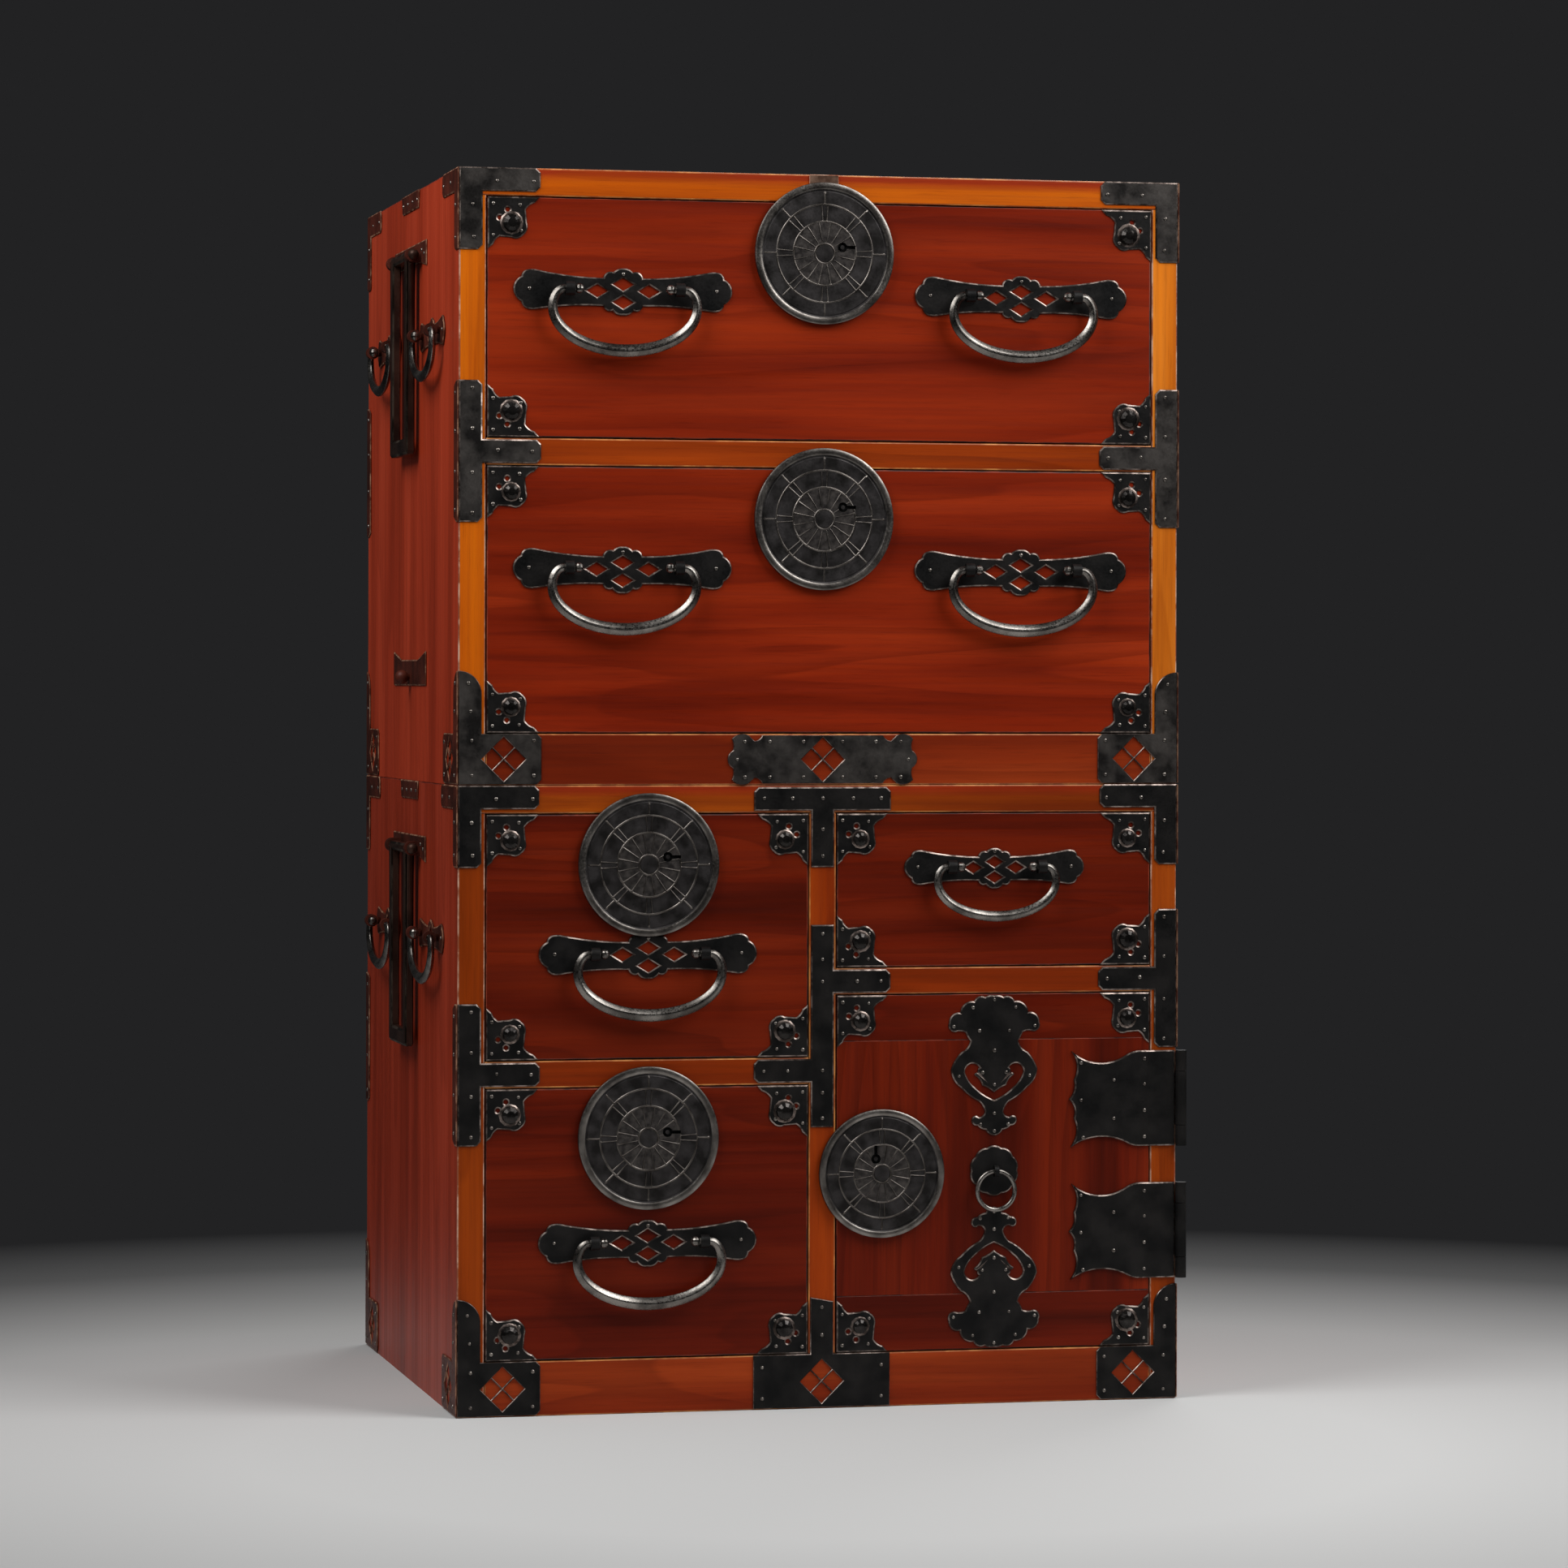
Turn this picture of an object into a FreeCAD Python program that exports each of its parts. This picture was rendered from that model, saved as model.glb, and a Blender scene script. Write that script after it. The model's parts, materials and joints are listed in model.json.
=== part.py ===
import FreeCAD, Part
import math
import os

# Two-piece stacked clothing chest with iron fittings.
# Millimetres. X to the right, front face towards -Y, Z up, origin on the floor under the middle.

# Whole chest
chest_width = 664.0
chest_depth = 548.0
upper_height = 549.0
lower_height = 561.0

# Case boards
side_thick = 24.5
top_thick = 25.0
back_thick = 9.0
floor_board_thick = 12.0
skirt_thick = 22.0
upper_skirt_height = 46.0
lower_skirt_height = 49.0
rail_height = 24.0
rail_depth = 60.0
dust_board_thick = 8.0
partition_thick = 24.5
finger_count = 5

# Openings, the rest of each case's height goes to the lowest opening
upper_top_opening = 215.0
left_top_opening = 220.0
right_top_opening = 140.0

# Drawers
reveal = 1.0
door_reveal = 1.5
front_thick = 20.0
drawer_wall = 10.0
drawer_floor = 6.0
drawer_side_gap = 0.8
drawer_run_gap = 0.3
drawer_back_room = 12.0
drawer_top_room = 14.0

# Door boards
door_top_clamp = 41.0
door_bottom_clamp = 50.0

# Iron sheet on the boards
iron_thick = 1.5
band_width = 21.0
end_clip = 4.0
corner_arm = 73.0
corner_leg = 73.0
tee_arm = 74.0
tee_leg = 63.0
foot_arm = 75.0
foot_leg = 56.0
foot_gap = 1.0
foot_shoulder_bow = 0.42
center_tee_half = 63.0
center_leg = 51.0
long_plate_half = 90.0
side_corner_arm = 88.0
side_foot_arm = 78.0
wear_plate_half = 52.0
wear_plate_height = 17.0
diamond_half = 9.5
diamond_bar = 2.6
foot_diamond_share = 0.545

# Corner irons of the drawers and the door
corner_iron_width = 36.0
corner_iron_height = 37.0

# Locks
lock_radius = 64.0
lock_drop = 45.0
lock_standoff = 2.0
lock_sheet = 2.5
lock_rim_width = 7.5
lock_rim_rise = 1.2
lock_boss_radius = 9.0
lock_boss_rise = 2.0
lock_foot_margin = 2.0
door_lock_radius = 58.0
door_lock_inset = 41.0
lock_case_width = 56.0
lock_case_height = 46.0
lock_case_thick = 13.0
lock_case_room = 1.5
bolt_width = 16.0
bolt_thick = 6.0
bolt_length = 34.0
bolt_throw = 10.0
bolt_gap = 0.3
mortise_gap = 0.8

# Handles: half width of the bail and how far in its eyes stand, its drop and bar, and its plate
big_handle = dict(half=70.5, eye_inset=20.5, drop=61.0, bar=5.0, plate_half=99.5, plate_height=40.0)
small_handle = dict(half=59.5, eye_inset=17.5, drop=50.0, bar=4.3, plate_half=84.0, plate_height=35.0)
side_handle = dict(half=64.0, eye_inset=16.0, drop=45.0, bar=4.5, plate_half=72.0, plate_height=30.0)
handle_plate_thick = 2.0
bail_axis_out = 10.5
pin_radius = 3.0
pin_gap = 0.06
pin_sink = 1.0
eye_radius = 6.0
eye_length = 8.0
eye_stem_radius = 3.3
eye_shank_radius = 2.5
shank_gap = 0.2
shank_clinch = 2.0
side_shank = 18.0
ball_radius = 4.6
ball_gap = 0.4
shoulder_gap = 0.8
bail_straight_share = 0.09
bail_side_share = 0.7
upper_handle_drop_share = 0.38
lower_handle_drop_share = 0.57
small_handle_drop_share = 0.35
pair_offset_share = 0.3
side_handle_gap = 14.5
side_handle_drop = 139.0

# Carrying loops on the sides
loop_half = 51.5
loop_bar = 17.0
loop_thick = 8.0
loop_length = 184.0
loop_end_bar = 15.0
loop_axis_out = 8.5
loop_pivot_drop = 62.0
loop_pin_radius = 4.0
loop_eye_radius = 6.5
loop_eye_length = 10.0
loop_eye_gap = 0.5
loop_plate_half = 96.0
loop_plate_height = 24.0
loop_plate_waist_share = 0.6
catch_height = 32.0
catch_waist_share = 0.5
catch_room = 4.0
catch_knob_radius = 6.5
catch_knob_out = 15.0

# Door furniture
hinge_height = 87.0
hinge_leaf = 76.0
hinge_sheet = 2.5
hinge_lift = 0.5
knuckle_radius = 5.0
knuckle_offset_share = 0.76
knuckle_share = 0.56
knuckle_gap = 0.4
hinge_pin_radius = 2.4
hinge_case_leaf = 60.0
hinge_upper_share = 0.7
hinge_lower_share = 0.325
ornament_half = 43.0
ornament_height = 128.0
rosette_radius = 21.5
rosette_petals = 10
petal_bow = 0.35
ring_radius = 17.5
ring_wire = 2.1
ring_axis_out = 8.0
ring_eye_radius = 5.2
ring_eye_length = 4.0
ring_stem_radius = 1.5
ring_gap = 0.5
ring_share = 0.502

cut_over = 5.0

# Levels and planes worked out from the sizes above
half_w = chest_width / 2
handle_out = bail_axis_out + big_handle["bar"]
front = (handle_out - chest_depth) / 2
back = front + chest_depth
mid_depth = (front + back) / 2
back_face = back - back_thick
inner_w = half_w - side_thick
half_post = partition_thick / 2
split = lower_height
crown = lower_height + upper_height
upper_floor = split + upper_skirt_height
upper_ceiling = crown - top_thick
upper_rail_top = upper_ceiling - upper_top_opening
upper_rail_bottom = upper_rail_top - rail_height
lower_floor = lower_skirt_height
lower_ceiling = split - top_thick
left_rail_top = lower_ceiling - left_top_opening
left_rail_bottom = left_rail_top - rail_height
right_rail_top = lower_ceiling - right_top_opening
right_rail_bottom = right_rail_top - rail_height

nodes = {}


def vec(x, y, z):
    return FreeCAD.Vector(x, y, z)


def box(x0, x1, y0, y1, z0, z1):
    """Block between two corners."""
    return Part.makeBox(x1 - x0, y1 - y0, z1 - z0, vec(x0, y0, z0))


def rod(start, along, radius, length):
    return Part.makeCylinder(radius, length, start, along)


def join(shapes):
    """One solid from shapes that meet."""
    first = shapes[0]
    if len(shapes) == 1:
        return first
    return first.fuse(shapes[1:]).removeSplitter()


def outline_face(points):
    """Face in the XZ plane. A third value on a point bows the line that follows it out to its right."""
    edges = []
    for i, point in enumerate(points):
        nxt = points[(i + 1) % len(points)]
        a = vec(point[0], 0, point[1])
        b = vec(nxt[0], 0, nxt[1])
        bow = point[2] if len(point) > 2 else 0
        if bow == 0:
            edges.append(Part.LineSegment(a, b).toShape())
        else:
            run = b - a
            middle = (a + b) / 2 + vec(run.z, 0, -run.x) * (bow / 2)
            edges.append(Part.Arc(a, middle, b).toShape())
    return Part.Face(Part.Wire(edges))


def sheet(points, thick, lift=0):
    """Sheet of iron on a board whose face is the plane Y zero, with its outside towards -Y."""
    face = outline_face(points)
    face.translate(vec(0, -lift, 0))
    return face.extrude(vec(0, -thick, 0))


def spread(shares, x0, z0, sx, sz):
    """Real points from an outline in shares."""
    flip = 1 if sx * sz > 0 else -1
    points = [(x0 + p[0] * sx, z0 + p[1] * sz, flip * (p[2] if len(p) > 2 else 0)) for p in shares]
    return points


def mirrored(half_shares):
    """Whole outline from its right half, listed from the top of the middle line to its foot."""
    left = []
    for i in range(len(half_shares) - 1, 0, -1):
        bow = half_shares[i - 1][2] if len(half_shares[i - 1]) > 2 else 0
        left.append((-half_shares[i][0], half_shares[i][1], bow))
    right = [p if len(p) > 2 else (p[0], p[1], 0) for p in half_shares[:-1]]
    return [(x, z, -bow) for x, z, bow in right + left]


def pierce(plate, holes, thick):
    """Cut outlines right through a sheet."""
    cutters = [sheet(points, thick + 2 * cut_over, -cut_over) for points in holes]
    return plate.cut(cutters)


def diamond(x, z, half_x, half_z):
    return [(x - half_x, z), (x, z - half_z), (x + half_x, z), (x, z + half_z)]


def four_diamonds(x, z):
    """Four lozenges set in a lozenge, the old pierced pattern of the corner plates."""
    step = diamond_half + diamond_bar / math.sqrt(2) / 2
    return [diamond(x + i * step, z + k * step, diamond_half, diamond_half)
            for i, k in ((0, 1), (1, 0), (0, -1), (-1, 0))]


def placed(shape, x, y, z, turn=0):
    """Copy of a fitting made on the plane Y zero, turned about Z and moved to its place."""
    copy = shape.copy()
    copy.rotate(vec(0, 0, 0), vec(0, 0, 1), turn)
    copy.translate(vec(x, y, z))
    return copy


def save(name, shapes):
    """Keep the solids of one node."""
    solids = []
    for shape in shapes:
        solids.extend(shape.Solids)
    nodes[name] = Part.makeCompound(solids)


# Turn of a fitting from the front to each side: the left side looks to -X, the right side to +X
side_turns = {"left": -90, "right": 90}
side_signs = {"left": -1, "right": 1}


# Fittings made once on the plane Y zero

# Right half of a handle plate, from the top of its middle to the point below it
handle_plate_shares = [
    (0.0, 0.475, 0.25), (0.088, 0.39, 0.5), (0.18, 0.26, -0.05), (0.8, 0.425, 0.1), (0.87, 0.42, 0.35),
    (0.925, 0.27, 0.65), (0.925, -0.29, 0.35), (0.87, -0.45, 0.1), (0.8, -0.455, -0.05), (0.18, -0.36, 0.5),
    (0.095, -0.46, 0.3), (0.0, -0.56),
]
handle_hole_shares = [(0.0, 0.125), (0.236, -0.025), (0.0, -0.275), (-0.236, -0.025)]
handle_hole_half_shares = (0.1, 0.15)


def handle_plate(size):
    """Scalloped back plate with four pierced diamonds."""
    half = size["plate_half"]
    height = size["plate_height"]
    plate = sheet(spread(mirrored(handle_plate_shares), 0, 0, half, height), handle_plate_thick)
    hole_x = handle_hole_half_shares[0] * half
    hole_z = handle_hole_half_shares[1] * height
    holes = [diamond(x * half, z * height, hole_x, hole_z) for x, z in handle_hole_shares]
    return pierce(plate, holes, handle_plate_thick)


def eye_place(size):
    """Distance of an eye from the middle of its handle."""
    return size["half"] - size["eye_inset"]


def eye_post(x, depth, clinch):
    """Forged eye with a shank in the board, clinched over behind it where it goes right through."""
    hole_radius = pin_radius + pin_gap
    middle = vec(x, -bail_axis_out, 0)
    root = vec(x, -handle_plate_thick, 0)
    stem = rod(root, vec(0, -1, 0), eye_stem_radius, bail_axis_out - handle_plate_thick)
    eye = rod(middle - vec(eye_length / 2, 0, 0), vec(1, 0, 0), eye_radius, eye_length)
    shank = rod(root, vec(0, 1, 0), eye_shank_radius, handle_plate_thick + depth + clinch)
    hole = rod(middle - vec(eye_length, 0, 0), vec(1, 0, 0), hole_radius, 2 * eye_length)
    pieces = [stem, eye, shank]
    if clinch > 0:
        pieces.append(rod(vec(x, depth, 0), vec(0, 1, 0), eye_stem_radius, clinch))
    return join(pieces).cut(hole)


def shank_hole(x, depth):
    return rod(vec(x, -cut_over, 0), vec(0, 1, 0), eye_shank_radius + shank_gap, depth + cut_over)


def handle_irons(size, depth, clinch):
    """Back plate with its two eyes, and the holes that the shanks need in the board."""
    plate = handle_plate(size)
    posts = []
    holes = []
    for sign in (-1, 1):
        x = sign * eye_place(size)
        hole = shank_hole(x, depth + shank_gap)
        plate = plate.cut(hole)
        posts.append(eye_post(x, depth, clinch))
        holes.append(hole)
    return [plate] + posts, holes


def bail(size):
    """Drop handle: a round bar bent down from two pins, with a ball on each inner end."""
    bar = size["bar"]
    start = eye_place(size) + eye_length / 2 + shoulder_gap
    side = size["half"] - bar
    top_bend = side - start
    bottom = size["drop"] - bar
    widest = top_bend + bail_straight_share * size["drop"]
    fall = bottom - widest
    side_bend = bail_side_share * fall
    inset = side - side_bend
    low_bend = (inset ** 2 + fall ** 2 - side_bend ** 2) / (2 * (fall - side_bend))
    side_turn = math.atan2(low_bend - fall, inset)
    s = math.sqrt(2) / 2
    y = -bail_axis_out

    def at(x, z):
        return vec(x, y, z)

    def on_side(sign, angle):
        return at(sign * (inset + side_bend * math.cos(angle)), -widest - side_bend * math.sin(angle))

    def half_path(sign):
        shoulder = Part.Arc(at(sign * start, 0),
                            at(sign * (start + top_bend * s), -top_bend * (1 - s)),
                            at(sign * side, -top_bend))
        straight = Part.LineSegment(at(sign * side, -top_bend), on_side(sign, 0))
        flank = Part.Arc(on_side(sign, 0), on_side(sign, side_turn / 2), on_side(sign, side_turn))
        return [shoulder.toShape(), straight.toShape(), flank.toShape()]

    belly = Part.Arc(on_side(-1, side_turn), at(0, -bottom), on_side(1, side_turn))
    path = Part.Wire(half_path(-1) + [belly.toShape()] + half_path(1)[::-1])
    ring = Part.Wire(Part.Circle(at(-start, 0), vec(1, 0, 0), bar).toShape())
    shapes = [path.makePipeShell([ring], True, False)]
    inner = eye_place(size) - eye_length / 2 - ball_gap - ball_radius
    for sign in (-1, 1):
        reach = start + pin_sink - inner
        shapes.append(rod(at(sign * inner, 0), vec(sign, 0, 0), pin_radius, reach))
        shapes.append(Part.makeSphere(ball_radius, at(sign * inner, 0)))
    return join(shapes)


def lock_plate(radius, foot_radius):
    """Round lock plate on a smaller foot, so that its edge passes over the rail beside it."""
    outward = vec(0, -1, 0)
    face = -lock_standoff - lock_sheet
    foot = rod(vec(0, 0, 0), outward, foot_radius, lock_standoff)
    disc = rod(vec(0, -lock_standoff, 0), outward, radius, lock_sheet)
    rim = rod(vec(0, face, 0), outward, radius, lock_rim_rise)
    inside = rod(vec(0, face + cut_over, 0), outward, radius - lock_rim_width, lock_rim_rise + 2 * cut_over)
    boss = rod(vec(0, face, 0), outward, lock_boss_radius, lock_boss_rise)
    return join([foot, disc, rim.cut(inside), boss])


def lock_case(behind):
    """Iron box behind the board with a channel for the bolt, open at the top, its top at Z zero."""
    half = lock_case_width / 2
    case = box(-half, half, behind, behind + lock_case_thick, -lock_case_height, 0)
    mid = behind + lock_case_thick / 2
    half_channel = bolt_width / 2 + bolt_gap
    half_deep = bolt_thick / 2 + bolt_gap
    channel = box(-half_channel, half_channel, mid - half_deep, mid + half_deep,
                  -bolt_length - bolt_gap, cut_over)
    return case.cut(channel)


def lock_bolt(behind):
    mid = behind + lock_case_thick / 2
    return box(-bolt_width / 2, bolt_width / 2, mid - bolt_thick / 2, mid + bolt_thick / 2, -bolt_length, 0)


def bolt_mortise(behind, height):
    """Pocket that the shot bolt enters, from Z zero up."""
    mid = behind + lock_case_thick / 2
    half_x = bolt_width / 2 + mortise_gap
    half_y = bolt_thick / 2 + mortise_gap
    return box(-half_x, half_x, mid - half_y, mid + half_y, -cut_over, height)


# Corner iron of a front, measured from the corner inwards: two pointed wings and a round lobe between them
corner_iron_shares = [
    (0.0, 0.0), (1.3, 0.0), (1.18, 0.13, -0.2), (0.95, 0.3), (0.98, 0.62, 0.35), (0.88, 0.92, 0.35),
    (0.6, 0.97), (0.3, 0.95, -0.2), (0.14, 1.14), (0.0, 1.25),
]
corner_eye_shares = [(0.5, 0.3), (0.3, 0.5)]
corner_eye_radius_share = 0.06


def corner_iron(sign_x, sign_z):
    """Pierced corner iron. The signs say which way the board runs from its corner."""
    points = spread(corner_iron_shares, 0, 0, sign_x * corner_iron_width, sign_z * corner_iron_height)
    plate = sheet(points, iron_thick)
    for share_x, share_z in corner_eye_shares:
        at = vec(sign_x * share_x * corner_iron_width, cut_over, sign_z * share_z * corner_iron_height)
        plate = plate.cut(rod(at, vec(0, -1, 0), corner_eye_radius_share * corner_iron_width,
                              iron_thick + 2 * cut_over))
    return plate


def corner_irons(x0, x1, z0, z1):
    """Irons on the four corners of a front."""
    irons = []
    for x, sign_x in ((x0, 1), (x1, -1)):
        for z, sign_z in ((z0, 1), (z1, -1)):
            irons.append(placed(corner_iron(sign_x, sign_z), x, front, z))
    return irons


# Frame irons, all in distances from a corner or joint: A runs across the front, B along the upright

def angle_points(arm, leg, band):
    """Angle plate with clipped ends."""
    return [(0, 0), (arm - end_clip, 0), (arm, end_clip), (arm, band - end_clip), (arm - end_clip, band),
            (band, band), (band, leg - end_clip), (band - end_clip, leg), (0, leg)]


def arm_end(arm, half):
    """End of a level arm with both corners clipped."""
    return [(arm - end_clip, -half), (arm, end_clip - half), (arm, half - end_clip), (arm - end_clip, half)]


def tee_points(arm, leg):
    """Tee plate: an upright band with one arm."""
    half = band_width / 2
    return [(0, -leg), (band_width - end_clip, -leg), (band_width, end_clip - leg), (band_width, -half),
            *arm_end(arm, half), (band_width, half),
            (band_width, leg - end_clip), (band_width - end_clip, leg), (0, leg)]


def foot_points(arm, leg, height):
    """Foot plate: a broad base with a round-shouldered upright."""
    return [(0, 0), (arm - end_clip, 0), (arm, end_clip), (arm, height - end_clip),
            (arm - end_clip, height), (band_width, height),
            (band_width, height + leg - band_width, foot_shoulder_bow), (0, height + leg)]


def signed(points, sign_x, sign_z):
    """Points turned to another corner, with their bows kept on the outside."""
    return spread(points, 0, 0, sign_x, sign_z)


def foot_plate(sign_x, arm, leg, height):
    points = foot_points(arm, leg, height)
    plate = sheet(signed(points, sign_x, 1), iron_thick)
    return pierce(plate, four_diamonds(sign_x * foot_diamond_share * arm, height / 2), iron_thick)


# Right half of the long plate on the middle of the upper skirt
long_plate_shares = [
    (0.0, 0.47), (0.62, 0.47, -0.3), (0.7, 0.36), (0.76, 0.47, 0.35), (0.93, 0.4, -0.2), (0.92, 0.17, 0.6),
    (0.92, -0.17, -0.2), (0.93, -0.4, 0.35), (0.76, -0.47), (0.7, -0.36, -0.3), (0.62, -0.47), (0.0, -0.47),
]


def case_front_irons(floor, skirt, ceiling_edge, joints):
    """Corner, tee and foot plates on both uprights of one case front."""
    irons = []
    for sign, rail_middle in joints:
        x = -sign * half_w
        top = sheet(signed(angle_points(corner_arm, corner_leg, band_width), sign, -1), iron_thick)
        irons.append(placed(top, x, front, ceiling_edge))
        tee = sheet(signed(tee_points(tee_arm, tee_leg), sign, 1), iron_thick)
        irons.append(placed(tee, x, front, rail_middle))
        foot = foot_plate(sign, foot_arm, foot_leg, skirt - foot_gap)
        irons.append(placed(foot, x, front, floor + foot_gap))
    return irons


def case_side_irons(floor, skirt, ceiling_edge, rail_middles):
    """Irons that wrap the corners of one case on to its sides, and the wear plates on the top edges."""
    irons = []
    for side, turn in side_turns.items():
        x = side_signs[side] * half_w
        for end, y in (("front", front), ("back", back)):
            # Along the turned plate, which way leads from the corner into the side
            into = side_signs[side] if end == "front" else -side_signs[side]
            wrap = iron_thick if end == "front" else 0
            edge = y - wrap
            top = sheet(signed(angle_points(side_corner_arm, corner_leg, band_width), into, -1), iron_thick)
            irons.append(placed(top, x, edge, ceiling_edge, turn))
            half = band_width / 2
            strip = [(0, -tee_leg), (half, -tee_leg), (band_width, end_clip - tee_leg),
                     (band_width, tee_leg - end_clip), (half, tee_leg), (0, tee_leg)]
            irons.append(placed(sheet(signed(strip, into, 1), iron_thick), x, edge, rail_middles[side], turn))
            foot = foot_plate(into, side_foot_arm, foot_leg, skirt - foot_gap)
            irons.append(placed(foot, x, edge, floor + foot_gap, turn))
        wear = [(-wear_plate_half, 0), (-wear_plate_half + end_clip, -wear_plate_height),
                (wear_plate_half - end_clip, -wear_plate_height), (wear_plate_half, 0)]
        irons.append(placed(sheet(wear, iron_thick), x, mid_depth, ceiling_edge, turn))
    return irons


def loop_mount():
    """Back plate of a carrying loop with its two eyes."""
    half = loop_plate_half
    rise = loop_plate_height / 2
    waist_half = loop_plate_waist_share * half
    waist_rise = loop_plate_waist_share * rise
    plate = sheet([(-half, -rise), (-waist_half, -waist_rise), (waist_half, -waist_rise),
                   (half, -rise), (half, rise), (-half, rise)], iron_thick)
    solids = [plate]
    for sign in (-1, 1):
        middle = sign * (loop_half + loop_eye_gap + loop_eye_length / 2)
        stem = box(middle - loop_eye_length / 2, middle + loop_eye_length / 2, -loop_axis_out, -iron_thick,
                   -loop_eye_radius, loop_eye_radius)
        start = vec(middle - loop_eye_length / 2, -loop_axis_out, 0)
        eye = rod(start, vec(1, 0, 0), loop_eye_radius, loop_eye_length)
        hole = rod(start - vec(cut_over, 0, 0), vec(1, 0, 0), loop_pin_radius + pin_gap,
                   loop_eye_length + 2 * cut_over)
        solids.append(join([stem, eye]).cut(hole))
    return solids


def carrying_loop():
    """Long closed loop of flat bar that hangs from a pin, with a head on each end of the pin."""
    half_thick = loop_thick / 2
    y0 = -loop_axis_out - half_thick
    y1 = -loop_axis_out + half_thick
    frame = box(-loop_half, loop_half, y0, y1, -loop_length, half_thick)
    inside = loop_half - loop_bar
    frame = frame.cut(box(-inside, inside, y0 - cut_over, y1 + cut_over,
                          -loop_length + loop_end_bar, -half_thick))
    reach = loop_half + 2 * loop_eye_gap + loop_eye_length
    pin = rod(vec(-reach, -loop_axis_out, 0), vec(1, 0, 0), loop_pin_radius, 2 * reach)
    head_x = reach + loop_eye_radius / 2
    heads = [Part.makeSphere(loop_eye_radius - iron_thick, vec(sign * head_x, -loop_axis_out, 0))
             for sign in (-1, 1)]
    rounded = frame.makeFillet(half_thick, [e for e in frame.Edges if is_low_corner(e)])
    return join([rounded, pin] + heads)


def is_low_corner(edge):
    """Whether an edge of the loop runs through its thickness at an outer lower corner."""
    ends = [v.Point for v in edge.Vertexes]
    through = abs(ends[0].y - ends[1].y) > loop_thick / 2
    low = max(p.z for p in ends) < -loop_length + loop_end_bar / 2
    outer = min(abs(p.x) for p in ends) > loop_half - loop_bar / 2
    return through and low and outer


def catch_plate():
    """Plate with a knob at Z zero. The lower loop swings up over it and ties the cases together."""
    half = loop_plate_half
    rise = catch_height / 2
    waist_half = catch_waist_share * half
    waist_rise = catch_waist_share * rise
    plate = sheet([(-half, -rise), (half, -rise), (half, rise), (waist_half, waist_rise),
                   (-waist_half, waist_rise), (-half, rise)], iron_thick)
    plate.translate(vec(0, 0, rise / 2))
    ball = vec(0, catch_knob_radius - catch_knob_out, 0)
    neck = rod(vec(0, -iron_thick, 0), vec(0, -1, 0), catch_knob_radius / 2, -ball.y - iron_thick)
    below = box(-half, half, -iron_thick, half, -half, half)
    knob = join([neck, Part.makeSphere(catch_knob_radius, ball)]).cut(below)
    return [plate, knob]


# Case boards

def case_side(sign, low, high):
    """Side board with fingers that pass up through the top board."""
    x0 = min(sign * half_w, sign * inner_w)
    board = box(x0, x0 + side_thick, front, back, low, high - top_thick)
    fingers = [box(x0, x0 + side_thick, y0, y1, high - top_thick, high) for y0, y1 in finger_spans()]
    return join([board] + fingers)


def finger_spans():
    """Places of the side's fingers along the depth."""
    pitch = chest_depth / (2 * finger_count + 1)
    return [(front + (2 * i + 1) * pitch, front + (2 * i + 2) * pitch) for i in range(finger_count)]


def case_top(high):
    """Top board, notched at both ends for the fingers of the sides."""
    board = box(-half_w, half_w, front, back, high - top_thick, high)
    for y0, y1 in finger_spans():
        for x0, x1 in ((-half_w - cut_over, -inner_w), (inner_w, half_w + cut_over)):
            board = board.cut(box(x0, x1, y0, y1, high - top_thick - cut_over, high + cut_over))
    return board


def case_base(low, skirt):
    """Front skirt, floor board and back skirt between the sides."""
    floor = low + skirt
    return [box(-inner_w, inner_w, front, front + skirt_thick, low, floor),
            box(-inner_w, inner_w, front + skirt_thick, back, floor - floor_board_thick, floor),
            box(-inner_w, inner_w, back - skirt_thick, back, low, floor - floor_board_thick)]


def case_back(floor, ceiling):
    return box(-inner_w, inner_w, back_face, back, floor, ceiling)


def divider(x0, x1, bottom, top):
    """Front rail with the thin dust board behind it."""
    rail = box(x0, x1, front, front + rail_depth, bottom, top)
    board = box(x0, x1, front + rail_depth, back_face, top - dust_board_thick, top)
    return [rail, board]


# Holes for the shanks of the side handles

def side_handle_places(crown_level):
    """Middle of each handle on a side, as Y and Z, clear of the carrying loop between them."""
    z = crown_level - side_handle_drop
    offset = loop_half + side_handle_gap + side_handle["half"]
    return [(mid_depth - offset, z), (mid_depth + offset, z)]


def cut_side_holes(board, side, crown_level):
    holes = handle_irons(side_handle, side_shank, 0)[1]
    x = side_signs[side] * half_w
    for y, z in side_handle_places(crown_level):
        board = board.cut([placed(hole, x, y, z, side_turns[side]) for hole in holes])
    return board


# Drawers, with their openings as left, right, bottom and top

def drawer_front_box(opening):
    x0, x1, z0, z1 = opening
    return x0 + reveal, x1 - reveal, z0 + reveal, z1 - reveal


upper_openings = {
    "upper_top_drawer": (-inner_w, inner_w, upper_rail_top, upper_ceiling),
    "upper_low_drawer": (-inner_w, inner_w, upper_floor, upper_rail_bottom),
}
lower_openings = {
    "left_top_drawer": (-inner_w, -half_post, left_rail_top, lower_ceiling),
    "left_low_drawer": (-inner_w, -half_post, lower_floor, left_rail_bottom),
    "right_small_drawer": (half_post, inner_w, right_rail_top, lower_ceiling),
}
drawer_openings = dict(upper_openings, **lower_openings)
drawer_handles = {
    "upper_top_drawer": (big_handle, upper_handle_drop_share, (-pair_offset_share, pair_offset_share)),
    "upper_low_drawer": (big_handle, upper_handle_drop_share, (-pair_offset_share, pair_offset_share)),
    "left_top_drawer": (big_handle, lower_handle_drop_share, (0,)),
    "left_low_drawer": (big_handle, lower_handle_drop_share, (0,)),
    "right_small_drawer": (small_handle, small_handle_drop_share, (0,)),
}
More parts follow.
